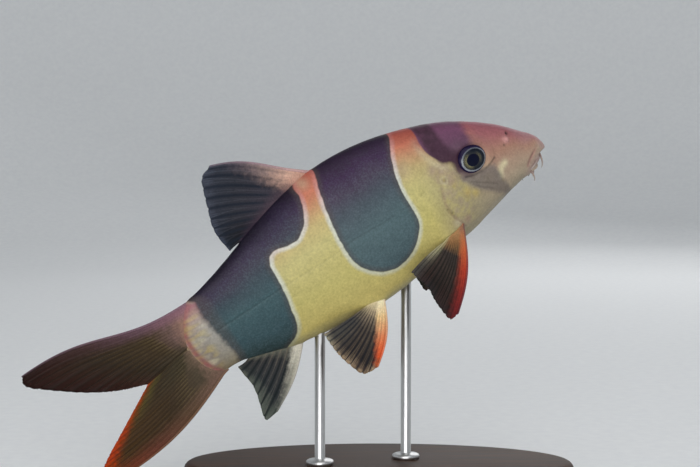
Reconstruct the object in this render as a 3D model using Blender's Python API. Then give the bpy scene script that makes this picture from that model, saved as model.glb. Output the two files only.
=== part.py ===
"""Clown loach, life size, swimming nose up above a small display stand.

Metres, +Z up. The fish faces +X and shows its right side to -Y. The origin is the middle
of the underside of the stand's base. Places on the fish are given as a naturalist would
measure it, in percent of its standard length: s is how far behind the snout, h how far
above the straight line from snout to tail base, and y how far out on its left side.
"""

import math

import bmesh
import bpy
import numpy as np
from mathutils import Vector
from mathutils.bvhtree import BVHTree

# Driving dimensions
MM = 0.001
STANDARD_LENGTH = 120 * MM
PERCENT = STANDARD_LENGTH / 100
GAP = 0.3 * MM

# Pose: nose up and turned a little away, with the tail swinging back
PITCH = math.radians(27.0)
YAW = math.radians(22.0)
BEND_START = 50.0
BEND_RATE = 0.00145
MIDDLE_S = 50.0
FISH_HEIGHT = 73 * MM

# Where one piece of the body ends and the next begins
GILL_EDGE = 33.3
GILL_SWEEP = 3.6
STALK_START = 77.6
STALK_END = 101.6
STALK_ROUNDING = 3.4
TAIL_MIDDLE_H = -1.2
CUT = GAP / PERCENT

# Stand
BASE_LENGTH = 116 * MM
BASE_WIDTH = 62 * MM
BASE_HEIGHT = 8 * MM
BASE_EDGE = 1.5 * MM
ROD_RADIUS = 1.5 * MM
ROD_SIDES = 20
ROD_CLEARANCE = 0.4 * MM
FOOT_RADIUS = 4 * MM
FOOT_HEIGHT = 1.6 * MM
ROD_FRONT_S = 42.0
ROD_REAR_S = 67.0


for leftover in list(bpy.data.objects):
    bpy.data.objects.remove(leftover, do_unlink=True)


def material(name, colour, roughness, metallic=0.0):
    """A plain finish for the solids."""
    finish = bpy.data.materials.new(name)
    finish.use_nodes = True
    shader = finish.node_tree.nodes["Principled BSDF"]
    shader.inputs["Base Color"].default_value = (*colour, 1.0)
    shader.inputs["Roughness"].default_value = roughness
    shader.inputs["Metallic"].default_value = metallic
    return finish


SKIN = material("fish_skin", (0.45, 0.38, 0.16), 0.4)
SKIN_DARK = material("fish_skin_banded", (0.07, 0.09, 0.09), 0.4)
FIN = material("fin_membrane", (0.10, 0.07, 0.06), 0.45)
FIN_RED = material("fin_membrane_red", (0.42, 0.10, 0.04), 0.45)
EYE = material("eye", (0.02, 0.03, 0.05), 0.08)
BARBEL = material("barbel", (0.62, 0.50, 0.42), 0.45)
WOOD = material("stand_wood", (0.05, 0.03, 0.02), 0.5)
STEEL = material("stand_steel", (0.55, 0.56, 0.57), 0.3, 1.0)


# Curves through a few measured stations
def smooth_line(stations):
    """A smooth function through (position, value) stations."""
    places = np.array([station[0] for station in stations], dtype=float)
    values = np.array([station[1] for station in stations], dtype=float)
    slopes = np.gradient(values, places)

    def read(position):
        position = min(max(position, places[0]), places[-1])
        cell = min(int(np.searchsorted(places, position, side="right")) - 1, len(places) - 2)
        span = places[cell + 1] - places[cell]
        t = (position - places[cell]) / span
        return float(
            values[cell] * (1 + 2 * t) * (1 - t) ** 2
            + slopes[cell] * span * t * (1 - t) ** 2
            + values[cell + 1] * t * t * (3 - 2 * t)
            + slopes[cell + 1] * span * t * t * (t - 1)
        )

    return read


def ramp(low, high, value):
    """Smooth step from 0 at low to 1 at high."""
    t = min(max((value - low) / (high - low), 0.0), 1.0)
    return t * t * (3 - 2 * t)


# The fish's outline from the side, from above, and in section
BACK = smooth_line([
    (0, -0.5), (0.35, 0.6), (1.1, 2.3), (2.2, 3.7), (4.4, 5.6), (8.8, 9.4), (15.5, 13.8),
    (23, 17.5), (31, 20.0), (41, 22.1), (51, 22.9), (59, 22.4), (67, 20.5), (75, 17.8),
    (83, 14.5), (90, 11.6), (96, 9.5), (103, 8.3),
])
BELLY = smooth_line([
    (0, -0.5), (0.35, -0.95), (1.1, -1.2), (2.2, -1.3), (3.2, -1.7), (3.9, -2.7), (4.6, -3.7),
    (6, -4.6), (10, -5.2),
    (15, -6.3), (21, -8.0), (29, -10.2), (36, -11.2), (43, -12.4), (50, -13.6),
    (57, -14.3), (65, -14.1), (72, -13.8), (79, -13.0), (86, -11.3), (93, -10.0),
    (98, -10.2), (103, -10.9),
])
HALF_WIDTH = smooth_line([
    (0, 0.0), (0.35, 0.9), (1.1, 1.7), (2.4, 2.5), (4.4, 3.3), (8, 4.5), (13, 5.7),
    (19, 6.8), (26, 7.9), (34, 8.7), (44, 8.9), (54, 8.3), (64, 7.1), (74, 5.5),
    (84, 3.8), (92, 2.6), (98, 1.7), (103, 1.15),
])
WIDEST_LEVEL = smooth_line([
    (0, -0.5), (3, -0.6), (9, 0.4), (18, 1.4), (30, 1.6), (50, 1.2), (75, 0.4), (103, -1.0),
])
BACK_ROUNDNESS = smooth_line([(0, 2.0), (12, 2.15), (26, 2.05), (45, 1.85), (80, 1.9), (103, 2.1)])
BELLY_ROUNDNESS = smooth_line([(0, 2.0), (12, 2.3), (30, 2.2), (55, 2.3), (80, 2.0), (103, 2.1)])


def section(s, angle):
    """Skin point (s, y, h); angle runs from the back down the right side and round."""
    level = WIDEST_LEVEL(s)
    up, out = math.cos(angle), -math.sin(angle)
    if up > 0:
        reach, roundness = BACK(s) - level, BACK_ROUNDNESS(s)
    else:
        reach, roundness = level - BELLY(s), BELLY_ROUNDNESS(s)
    h = level + math.copysign(abs(up) ** (2 / roundness), up) * reach
    y = math.copysign(abs(out) ** (2 / roundness), out) * HALF_WIDTH(s)
    return s, y, h


def gill_step(s, h):
    """The gill cover stands a little proud of the flank just behind it."""
    side = math.exp(-((h - 1.0) / 7.0) ** 2)
    cover = 0.30 * ramp(GILL_EDGE - 9.0, GILL_EDGE - 1.0, s)
    flank = -0.15 * (1 - ramp(GILL_EDGE, GILL_EDGE + 7.0, s))
    return side * (cover if s <= GILL_EDGE else flank)


def sweep(s, h):
    """How far a body ring leans forward low down, along the gill opening's lower edge."""
    before_gill = ramp(GILL_EDGE - 14.0, GILL_EDGE - 1.0, s)
    near_gill = before_gill * (1 - ramp(GILL_EDGE + 1.0, GILL_EDGE + 16.0, s))
    low = ramp(2.0, -10.5, h)
    forward = -GILL_SWEEP * near_gill * low
    near_tail = ramp(STALK_END - 12.0, STALK_END, s)
    from_middle = (h - TAIL_MIDDLE_H) / 9.6
    return forward - STALK_ROUNDING * near_tail * from_middle * from_middle


def skin_point(s, angle):
    """A point of the finished skin, with its ring leaned and the gill cover raised."""
    _, _, h = section(s, angle)
    leaned = s + sweep(s, h)
    _, y, h = section(leaned, angle)
    y += math.copysign(gill_step(s, h), y) if abs(y) > 0.01 else 0.0
    return leaned, y, h


def place(s, y, h):
    """World position of a point given in percent of standard length."""
    past = max(0.0, s - BEND_START)
    turn = 2 * BEND_RATE * past
    forward = MIDDLE_S - s + y * math.sin(turn)
    left = BEND_RATE * past * past + y * math.cos(turn)
    x = forward * math.cos(PITCH) - h * math.sin(PITCH)
    z = forward * math.sin(PITCH) + h * math.cos(PITCH)
    world = Vector((
        x * math.cos(YAW) - left * math.sin(YAW),
        x * math.sin(YAW) + left * math.cos(YAW),
        z,
    ))
    return world * PERCENT + Vector((0, 0, FISH_HEIGHT))


# Mesh helpers
def make_object(name, points, faces, finish):
    """One closed mesh object with its faces pointing outwards."""
    mesh = bpy.data.meshes.new(name)
    mesh.from_pydata([tuple(point) for point in points], [], faces)
    work = bmesh.new()
    work.from_mesh(mesh)
    bmesh.ops.recalc_face_normals(work, faces=work.faces)
    work.to_mesh(mesh)
    work.free()
    mesh.materials.append(finish)
    mesh.shade_smooth()
    mesh.set_sharp_from_angle(angle=math.radians(50))
    made = bpy.data.objects.new(name, mesh)
    bpy.context.scene.collection.objects.link(made)
    return made


def loft(name, rings, finish, closing_point=None, opening_point=None):
    """Skin over a row of rings; each end closes on a tip, or straight across its ring."""
    count = len(rings[0])
    points = [point for ring in rings for point in ring]
    faces = []
    for row in range(len(rings) - 1):
        for column in range(count):
            following = (column + 1) % count
            a = row * count + column
            b = row * count + following
            faces.append((a, b, b + count, a + count))
    for start, tip in ((0, opening_point), ((len(rings) - 1) * count, closing_point)):
        if tip is None:
            for column in range(count // 2 - 1):
                a, b = start + column, start + count - 1 - column
                faces.append((a, a + 1, b - 1, b))
        else:
            points.append(tip)
            for column in range(count):
                faces.append((start + column, start + (column + 1) % count, len(points) - 1))
    return make_object(name, points, faces, finish)


def tube(name, route, radii, sides, finish):
    """A tapered round strand along a route of world points."""
    rings = []
    side_axis = None
    for index, point in enumerate(route):
        ahead = route[min(index + 1, len(route) - 1)]
        behind = route[max(index - 1, 0)]
        along = (ahead - behind).normalized()
        if side_axis is None:
            side_axis = along.orthogonal().normalized()
        side_axis = (side_axis - along * side_axis.dot(along)).normalized()
        other_axis = along.cross(side_axis)
        ring = []
        for side in range(sides):
            angle = 2 * math.pi * side / sides
            offset = side_axis * math.cos(angle) + other_axis * math.sin(angle)
            ring.append(point + offset * radii[index])
        rings.append(ring)
    return loft(name, rings, finish)


def ellipsoid(name, centre, axes, radii, rings, sides, finish):
    """A closed ellipsoid; axes are three unit vectors, the first from pole to pole."""
    rows = []
    for ring in range(1, rings):
        polar = math.pi * ring / rings
        row = []
        for side in range(sides):
            around = 2 * math.pi * side / sides
            row.append(
                centre
                + axes[0] * (radii[0] * math.cos(polar))
                + axes[1] * (radii[1] * math.sin(polar) * math.cos(around))
                + axes[2] * (radii[2] * math.sin(polar) * math.sin(around))
            )
        rows.append(row)
    first = centre + axes[0] * radii[0]
    last = centre - axes[0] * radii[0]
    return loft(name, rows, finish, closing_point=last, opening_point=first)


def settle(piece):
    """Apply the piece's modifiers and keep only its largest closed surface."""
    depsgraph = bpy.context.evaluated_depsgraph_get()
    depsgraph.update()
    mesh = bpy.data.meshes.new_from_object(piece.evaluated_get(depsgraph))
    piece.modifiers.clear()
    piece.data = mesh
    work = bmesh.new()
    work.from_mesh(mesh)
    waiting = set(work.verts)
    shells = []
    while waiting:
        start = waiting.pop()
        shell, edge_of_shell = {start}, [start]
        while edge_of_shell:
            vertex = edge_of_shell.pop()
            for edge in vertex.link_edges:
                other = edge.other_vert(vertex)
                if other in waiting:
                    waiting.remove(other)
                    shell.add(other)
                    edge_of_shell.append(other)
        shells.append(shell)
    largest = max(shells, key=len)
    scraps = [vertex for shell in shells if shell is not largest for vertex in shell]
    bmesh.ops.delete(work, geom=scraps, context="VERTS")
    work.to_mesh(mesh)
    work.free()


def combine(piece, others, operation):
    """Join or cut the others in one Boolean, then remove them."""
    group = bpy.data.collections.new(piece.name + "_" + operation.lower())
    for other in others:
        group.objects.link(other)
    boolean = piece.modifiers.new(operation.lower(), "BOOLEAN")
    boolean.operation = operation
    boolean.operand_type = "COLLECTION"
    boolean.collection = group
    boolean.solver = "EXACT"
    settle(piece)
    for other in others:
        bpy.data.objects.remove(other, do_unlink=True)
    bpy.data.collections.remove(group)


def surface_tree(pieces):
    """A search tree over the pieces' surfaces, for setting things on them."""
    points, faces = [], []
    for piece in pieces:
        start = len(points)
        points.extend(vertex.co.copy() for vertex in piece.data.vertices)
        faces.extend([start + index for index in face.vertices] for face in piece.data.polygons)
    return BVHTree.FromPolygons(points, faces)


def set_on(tree, point):
    """The nearest place that stands just clear of the surface."""
    spot, normal, _, _ = tree.find_nearest(point)
    return spot + normal * GAP


def keep_clear(tree, point, clearance):
    """Push a point out where it comes too near the surface."""
    spot, normal, _, distance = tree.find_nearest(point)
    outwards = point - spot
    if outwards.dot(normal) < 0:
        return spot + normal * clearance
    if distance < clearance:
        return spot + (outwards.normalized() if distance > 0 else normal) * clearance
    return point


# Body: head, torso and tail stalk share one skin and are parted by thin cuts
BODY_SIDES = 40
HEAD_RINGS = 30
TORSO_RINGS = 20
STALK_RINGS = 11


def ring_at(s):
    """One ring of skin points in world space."""
    angles = [2 * math.pi * (side + 0.5) / BODY_SIDES for side in range(BODY_SIDES)]
    return [place(*skin_point(s, angle)) for angle in angles]


def body_length(name, start, end, count, finish, crowding=1.0, **ends):
    """A length of the body between two stations, with rings crowded to its start."""
    rings = []
    for index in range(count + 1):
        share = (index / count) ** crowding
        rings.append(ring_at(start + (end - start) * share))
    return loft(name, rings, finish, **ends)


SNOUT_START = 0.12
head = body_length(
    "head", SNOUT_START, GILL_EDGE - CUT, HEAD_RINGS, SKIN, crowding=1.6,
    opening_point=place(0, 0, -0.5),
)
torso = body_length("torso", GILL_EDGE, STALK_START - CUT, TORSO_RINGS, SKIN)
tail_stalk = body_length("tail_stalk", STALK_START, STALK_END, STALK_RINGS, SKIN_DARK)
plain_head = surface_tree([head])

# Eyes: flattened balls set into sockets in the head
EYE_S = 22.5
EYE_H = 7.15
EYE_RADIUS = 4.4 * MM
EYE_LENGTH = 1.10
EYE_HALF_DEPTH = 2.8 * MM
EYE_SINK = 1.5 * MM
EYE_LOOK = (0.12, 1.0, 0.12)
EYE_RINGS = 10
EYE_SIDES = 20


def side_name(side):
    """The word for a side: +1 is the fish's left."""
    return "left" if side > 0 else "right"


def spot_on_side(side, s, h):
    """A point of the head's flank with its outward, forward and third axes."""
    outside = place(s, side * 30, h)
    inside = place(s, 0, h)
    spot, outward, _, _ = plain_head.ray_cast(outside, (inside - outside).normalized())
    forward = (place(0, 0, 0) - place(10, 0, 0)).normalized()
    forward = (forward - outward * forward.dot(outward)).normalized()
    return spot, (outward, forward, outward.cross(forward))


def eye_axes(side):
    """The way an eye looks, out and a little forward, with its two other axes."""
    middle = place(EYE_S, 0, EYE_H)
    ahead = (place(EYE_S - 1, 0, EYE_H) - middle).normalized()
    out = (place(EYE_S, side, EYE_H) - middle).normalized()
    up = (place(EYE_S, 0, EYE_H + 1) - middle).normalized()
    look = (ahead * EYE_LOOK[0] + out * EYE_LOOK[1] + up * EYE_LOOK[2]).normalized()
    forward = (ahead - look * ahead.dot(look)).normalized()
    return look, forward, look.cross(forward)


sockets = []
for side in (-1, 1):
    spot, _ = spot_on_side(side, EYE_S, EYE_H)
    axes = eye_axes(side)
    centre = spot - axes[0] * EYE_SINK
    eye_size = (EYE_HALF_DEPTH, EYE_RADIUS * EYE_LENGTH, EYE_RADIUS)
    socket_size = tuple(radius + GAP for radius in eye_size)
    ellipsoid("eye_" + side_name(side), centre, axes, eye_size, EYE_RINGS, EYE_SIDES, EYE)
    sockets.append(ellipsoid("socket", centre, axes, socket_size, EYE_RINGS, EYE_SIDES, SKIN))

# Nostrils: on each side an open pit in front of a small raised flap
NOSTRIL_PIT = (9.6, 7.8)
NOSTRIL_FLAP = (11.1, 6.6)
PIT_SIZE = (0.6 * MM, 0.5 * MM, 0.4 * MM)
FLAP_SIZE = (0.8 * MM, 0.85 * MM, 0.95 * MM)
FLAP_SINK = 0.3 * MM
NOSTRIL_RINGS = 6
NOSTRIL_SIDES = 10

pits = []
flaps = []
for side in (-1, 1):
    spot, axes = spot_on_side(side, *NOSTRIL_PIT)
    pits.append(ellipsoid("pit", spot, axes, PIT_SIZE, NOSTRIL_RINGS, NOSTRIL_SIDES, SKIN))
    spot, axes = spot_on_side(side, *NOSTRIL_FLAP)
    spot = spot - axes[0] * FLAP_SINK
    flaps.append(ellipsoid("flap", spot, axes, FLAP_SIZE, NOSTRIL_RINGS, NOSTRIL_SIDES, SKIN))

# Mouth: two fleshy lips under the tip of the snout, meeting at the corners
LIP_SIDES = 8
UPPER_LIP_ROUTE = [
    (7.0, 2.75, -3.3), (5.4, 2.45, -2.6), (4.2, 1.75, -2.15), (3.55, 0.8, -1.95), (3.4, 0.0, -1.9),
]
UPPER_LIP_RADII = (0.35, 0.6, 0.75, 0.8, 0.8)
LOWER_LIP_ROUTE = [
    (7.2, 2.55, -3.9), (5.9, 2.1, -3.85), (5.0, 1.2, -3.7), (4.55, 0.35, -3.55), (4.5, 0.0, -3.5),
]
LOWER_LIP_RADII = (0.3, 0.5, 0.65, 0.6, 0.55)


def lip(name, half_route, half_radii):
    """A lip swept from one corner of the mouth round the front to the other."""
    other_half = [(s, -y, h) for s, y, h in reversed(half_route[:-1])]
    route = [place(*point) for point in list(half_route) + other_half]
    radii = list(half_radii) + list(reversed(half_radii[:-1]))
    return tube(name, route, [radius * PERCENT for radius in radii], LIP_SIDES, SKIN)


lips = [
    lip("upper_lip", UPPER_LIP_ROUTE, UPPER_LIP_RADII),
    lip("lower_lip", LOWER_LIP_ROUTE, LOWER_LIP_RADII),
]
combine(head, lips + flaps, "UNION")
combine(head, sockets + pits, "DIFFERENCE")
body = surface_tree([head, torso, tail_stalk])


# Fins: a thin membrane with its rays raised in both faces
RAY_RIDGE = 0.16 * MM
SCALLOP = 0.035


def along_points(stations, share):
    """A point at a share of the way along a few evenly counted stations, smoothly."""
    columns = zip(*stations)
    marks = [index / (len(stations) - 1) for index in range(len(stations))]
    return [smooth_line(list(zip(marks, column)))(share) for column in columns]


def fin(name, roots, tips, bows, ray_count, rows, root_thickness, edge_thickness, finish):
    """A fin from its leading ray to its last. Each ray bows by (s, y, h), then h back again."""
    columns = 2 * (ray_count - 1)
    middle = np.zeros((columns + 1, rows + 1, 3))
    for column in range(columns + 1):
        share = column / columns
        root = np.array(along_points(roots, share))
        tip = np.array(along_points(tips, share))
        *bow, back_again = along_points(bows, share)
        reach = 1.0 - (SCALLOP if column % 2 else 0.0)
        for row in range(rows + 1):
            out = reach * row / rows
            spot = root + (tip - root) * out + np.array(bow) * math.sin(math.pi * out)
            spot[2] += back_again * math.sin(2 * math.pi * out)
            middle[column, row] = place(*spot)
    across = np.gradient(middle, axis=0)
    along = np.gradient(middle, axis=1)
    normals = np.cross(across, along)
    normals /= np.linalg.norm(normals, axis=2, keepdims=True)

    points, index_of = [], {}
    for face in (1, -1):
        for column in range(columns + 1):
            for row in range(rows + 1):
                out = row / rows
                thickness = root_thickness + (edge_thickness - root_thickness) * math.sqrt(out)
                ridge = RAY_RIDGE * (1 - 0.6 * out) if column % 2 == 0 else 0.0
                offset = face * (thickness / 2 + ridge) * normals[column, row]
                spot = Vector(middle[column, row])
                if row == 0:
                    spot = set_on(body, spot)
                spot = keep_clear(body, spot + Vector(offset), GAP if row == 0 else 1.5 * GAP)
                index_of[face, column, row] = len(points)
                points.append(spot)

    faces = []
    for face in (1, -1):
        for column in range(columns):
            for row in range(rows):
                a = index_of[face, column, row]
                b = index_of[face, column + 1, row]
                c = index_of[face, column + 1, row + 1]
                d = index_of[face, column, row + 1]
                faces.extend([(a, b, c), (a, c, d)])
    border = [(column, 0) for column in range(columns)]
    border += [(columns, row) for row in range(rows)]
    border += [(column, rows) for column in range(columns, 0, -1)]
    border += [(0, row) for row in range(rows, 0, -1)]
    for here, following in zip(border, border[1:] + border[:1]):
        a, b = index_of[1, *here], index_of[1, *following]
        c, d = index_of[-1, *following], index_of[-1, *here]
        faces.extend([(a, b, c), (a, c, d)])
    return make_object(name, points, faces, finish)


fin(
    "dorsal_fin",
    roots=[(59.4, 0, 22.6), (66, 0, 20.9), (73, 0, 18.7), (80.4, 0, 15.8)],
    tips=[
        (79.6, 0, 34.7), (82.6, 0.1, 32.9), (83.7, 0.3, 29.4), (84.5, 0.4, 25.8), (85.3, 0.3, 22.2),
        (85.3, 0.2, 18.9), (84.3, 0, 15.0),
    ],
    bows=[(-0.4, 0, 1.1, -0.5), (0, 0, 0.6, -0.2), (0, 0, 0.3, 0), (0, 0, 0.1, 0)],
    ray_count=11, rows=8, root_thickness=1.2 * MM, edge_thickness=0.55 * MM, finish=FIN,
)
fin(
    "anal_fin",
    roots=[(78.6, 0, -13.2), (82.5, 0, -12.3), (86.5, 0, -11.3), (91.0, 0, -10.4)],
    tips=[
        (91.0, 0, -25.2), (94.5, -0.1, -25.6), (94.2, -0.2, -22.3), (93.7, -0.2, -19.2), (93.6, -0.2, -16.3),
        (94.2, -0.1, -13.6), (94.7, 0, -11.0),
    ],
    bows=[(-0.7, 0, -0.8, 0), (-0.3, 0, -0.4, 0), (0, 0, -0.1, 0), (0, 0, -0.2, 0)],
    ray_count=8, rows=7, root_thickness=1.2 * MM, edge_thickness=0.55 * MM, finish=FIN,
)
fin(
    "tail_fin_upper",
    roots=[(98.6, 0, 8.4), (101.3, 0, 5.2), (102.2, 0, 2.0), (102.4, 0, -0.95)],
    tips=[
        (139.2, 0.8, 10.6), (139.4, 0.8, 7.9), (134.2, 0.6, 4.1), (128.0, 0.4, 0.3), (121.6, 0.2, -2.6),
        (115.0, 0, -4.15),
    ],
    bows=[(0, 1.2, 0.1, -1.1), (0, 0.9, 0.3, -0.4), (0, 0.4, 0.2, 0), (0, 0, 0, 0)],
    ray_count=10, rows=10, root_thickness=1.5 * MM, edge_thickness=0.6 * MM, finish=FIN_RED,
)
fin(
    "tail_fin_lower",
    roots=[(102.4, 0, -1.5), (102.1, 0, -4.6), (101.1, 0, -7.7), (98.3, 0, -10.6)],
    tips=[
        (115.0, 0, -4.75), (121.2, -0.2, -8.9), (126.2, -0.4, -12.5), (131.0, -0.6, -16.0), (134.4, -0.7, -19.6),
        (133.4, -0.8, -21.8),
    ],
    bows=[(0, 0, 0, 0), (0, -0.5, -0.3, 0), (0, -0.9, -1.0, 0), (-0.6, -1.2, -2.1, 0)],
    ray_count=10, rows=10, root_thickness=1.5 * MM, edge_thickness=0.6 * MM, finish=FIN_RED,
)

# Paired fins: the near pair as the photo shows them, the far pair held a little closer
for side, closer in ((-1, 0.0), (1, 1.0)):
    fin(
        "pelvic_fin_" + side_name(side),
        roots=[(57.2, side * 4.3, -13.1), (59.4, side * 4.7, -12.5), (61.8, side * 4.9, -11.9)],
        tips=[
            (66.2 - 3.0 * closer, side * 7.1, -25.8),
            (70.2 - 3.5 * closer, side * 7.5, -25.3),
            (72.2 - 4.0 * closer, side * (7.8 - 0.5 * closer), -21.8),
            (73.5 - 4.5 * closer, side * (7.9 - 0.5 * closer), -18.4),
            (74.1 - 4.5 * closer, side * (7.6 - 0.5 * closer), -15.2),
            (74.4 - 4.5 * closer, side * (7.2 - 0.5 * closer), -12.2),
        ],
        bows=[(-0.9, side * 0.7, -0.6, 0), (-0.3, side * 1.0, -0.4, 0), (0, side * 1.1, 0.1, 0)],
        ray_count=8, rows=7, root_thickness=1.2 * MM, edge_thickness=0.55 * MM, finish=FIN,
    )
    fin(
        "pectoral_fin_" + side_name(side),
        roots=[(32.0, side * 7.3, -6.2), (34.4, side * 7.5, -6.8), (37.4, side * 7.8, -7.0)],
        tips=[
            (44.6 - 6.0 * closer, side * 12.2, -23.0 + 2.0 * closer),
            (47.1 - 6.5 * closer, side * 12.4, -23.0 + 2.0 * closer),
            (48.1 - 7.0 * closer, side * 12.5, -19.6 + 1.5 * closer),
            (48.6 - 7.0 * closer, side * 12.5, -16.6 + 1.0 * closer),
            (48.6 - 6.5 * closer, side * 12.2, -13.8 + 0.5 * closer),
            (49.6 - 6.0 * closer, side * 11.8, -10.9),
            (50.4 - 5.5 * closer, side * 11.2, -8.6),
        ],
        bows=[(-1.1, side * 0.5, -1.1, 0), (-0.6, side * 0.8, -0.6, 0), (0, side * 0.8, 0.7, 0)],
        ray_count=12, rows=8, root_thickness=1.3 * MM, edge_thickness=0.55 * MM, finish=FIN_RED,
    )

# Barbels: short soft feelers round the mouth, each one node
BARBEL_SIDES = 8
BARBEL_STEPS = 6
BARBEL_ROOT_RADIUS = 0.38 * MM
BARBEL_TIP_RADIUS = 0.18 * MM
BARBELS = {
    "rostral_inner": ((2.6, 1.0, -1.6), (2.9, 2.3, -3.6), (3.9, 1.6, -4.9)),
    "rostral_outer": ((4.3, 2.6, -1.9), (6.0, 4.5, -2.7), (7.8, 3.9, -3.2)),
    "maxillary": ((7.6, 3.0, -4.0), (7.5, 4.1, -5.2), (7.8, 3.0, -6.6)),
    "mandibular": ((5.9, 0.9, -4.6), (6.1, 1.0, -5.3), (6.9, 1.2, -5.8)),
}
for side in (-1, 1):
    for kind, knots in BARBELS.items():
        start, bend, tip = (place(s, side * y, h) for s, y, h in knots)
        start = set_on(body, start)
        route = []
        for step in range(BARBEL_STEPS + 1):
            t = step / BARBEL_STEPS
            route.append(start * (1 - t) ** 2 + bend * 2 * t * (1 - t) + tip * t * t)
        radii = [
            BARBEL_ROOT_RADIUS + (BARBEL_TIP_RADIUS - BARBEL_ROOT_RADIUS) * step / BARBEL_STEPS
            for step in range(BARBEL_STEPS + 1)
        ]
        feeler = tube("barbel_" + kind + "_" + side_name(side), route, radii, BARBEL_SIDES, BARBEL)
        for index, vertex in enumerate(feeler.data.vertices):
            vertex.co = keep_clear(body, vertex.co.copy(), GAP)


# Stand: a low oval base with two thin rods up to the belly
def stand_base():
    """An oval slab with its upper edge eased."""
    sides = 64
    profile = [
        (0.0, 0.0),
        (0.0, BASE_HEIGHT - BASE_EDGE),
        (BASE_EDGE * 0.3, BASE_HEIGHT - BASE_EDGE * 0.3),
        (BASE_EDGE, BASE_HEIGHT),
    ]
    rings = []
    for inset, height in profile:
        ring = []
        for side in range(sides):
            angle = 2 * math.pi * side / sides
            ring.append(Vector((
                (BASE_LENGTH / 2 - inset) * math.cos(angle),
                (BASE_WIDTH / 2 - inset) * math.sin(angle),
                height,
            )))
        rings.append(ring)
    return loft("stand_base", rings, WOOD)


def stand_rod(name, s):
    """A steel rod on a small foot, its top cut to the belly's slope just under it."""
    centre = place(s, 0, 0)
    foot_bottom = BASE_HEIGHT + GAP
    profile = [
        (FOOT_RADIUS, foot_bottom),
        (FOOT_RADIUS, foot_bottom + 0.7 * FOOT_HEIGHT),
        (FOOT_RADIUS - 0.3 * FOOT_HEIGHT, foot_bottom + FOOT_HEIGHT),
        (ROD_RADIUS, foot_bottom + FOOT_HEIGHT),
        (ROD_RADIUS, None),
    ]
    rings = []
    for radius, height in profile:
        ring = []
        for side in range(ROD_SIDES):
            angle = 2 * math.pi * side / ROD_SIDES
            x = centre.x + radius * math.cos(angle)
            y = centre.y + radius * math.sin(angle)
            z = height
            if height is None:
                belly, _, _, _ = body.ray_cast(Vector((x, y, foot_bottom)), Vector((0, 0, 1)))
                z = belly.z - ROD_CLEARANCE
            ring.append(Vector((x, y, z)))
        rings.append(ring)
    return loft(name, rings, STEEL)


stand_base()
stand_rod("stand_rod_front", ROD_FRONT_S)
stand_rod("stand_rod_rear", ROD_REAR_S)
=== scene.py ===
import math

import bmesh
import bpy
import numpy as np
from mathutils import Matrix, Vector, noise
from mathutils.bvhtree import BVHTree


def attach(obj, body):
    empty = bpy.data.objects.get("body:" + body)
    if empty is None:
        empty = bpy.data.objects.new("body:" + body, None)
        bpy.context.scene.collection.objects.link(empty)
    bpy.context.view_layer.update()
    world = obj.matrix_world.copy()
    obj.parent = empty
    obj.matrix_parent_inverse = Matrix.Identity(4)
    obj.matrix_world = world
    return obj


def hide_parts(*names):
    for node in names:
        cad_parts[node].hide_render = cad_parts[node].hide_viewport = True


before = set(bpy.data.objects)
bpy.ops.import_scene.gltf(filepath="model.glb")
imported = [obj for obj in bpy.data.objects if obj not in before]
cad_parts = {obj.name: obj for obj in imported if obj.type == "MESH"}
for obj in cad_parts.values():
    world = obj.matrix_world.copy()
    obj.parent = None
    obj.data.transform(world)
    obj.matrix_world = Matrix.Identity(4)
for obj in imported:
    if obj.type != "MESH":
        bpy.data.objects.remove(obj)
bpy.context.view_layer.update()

# Body skin
# The whole body from snout to tail base, in one satin skin with the scales buried in it.
# A museum model of it is cast in resin from a mould of the fish, then airbrushed band by band.
# Places on it are in percent of standard length: s behind the snout, y out on its left, h up.
MM = 0.001
STANDARD_LENGTH = 120
PERCENT = STANDARD_LENGTH / 100 * MM
PER_MM = MM / PERCENT
PITCH = math.radians(27.0)
YAW = math.radians(22.0)
BEND_START = 50.0
BEND_RATE = 0.00145
MIDDLE_S = 50.0
FISH_HEIGHT = 73 * MM
SKIN_COLUMNS = 320
SNOUT_TIP = (-0.05, 0, -0.5)
SKIN_START, SKIN_END = 0.015, 103.4
RING_SPACING = [
    (0, 0.06), (3, 0.16), (8, 0.25), (30, 0.27), (36, 0.36), (50, 0.5), (92, 0.5), (SKIN_END, 0.3),
]


def smooth_line(stations):
    """A smooth curve through (position, value) stations, read at any array of positions."""
    places, values = np.array(stations, dtype=float).T
    slopes = np.gradient(values, places)

    def read(position):
        position = np.clip(position, places[0], places[-1])
        cell = np.searchsorted(places, position, side="right") - 1
        cell = np.clip(cell, 0, len(places) - 2)
        span = places[cell + 1] - places[cell]
        t = (position - places[cell]) / span
        return (
            values[cell] * (1 + 2 * t) * (1 - t) ** 2
            + slopes[cell] * span * t * (1 - t) ** 2
            + values[cell + 1] * t * t * (3 - 2 * t)
            + slopes[cell + 1] * span * t * t * (t - 1)
        )

    return read


def ramp(low, high, value):
    """Smooth step from 0 at low to 1 at high."""
    t = np.clip((value - low) / (high - low), 0, 1)
    return t * t * (3 - 2 * t)


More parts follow.
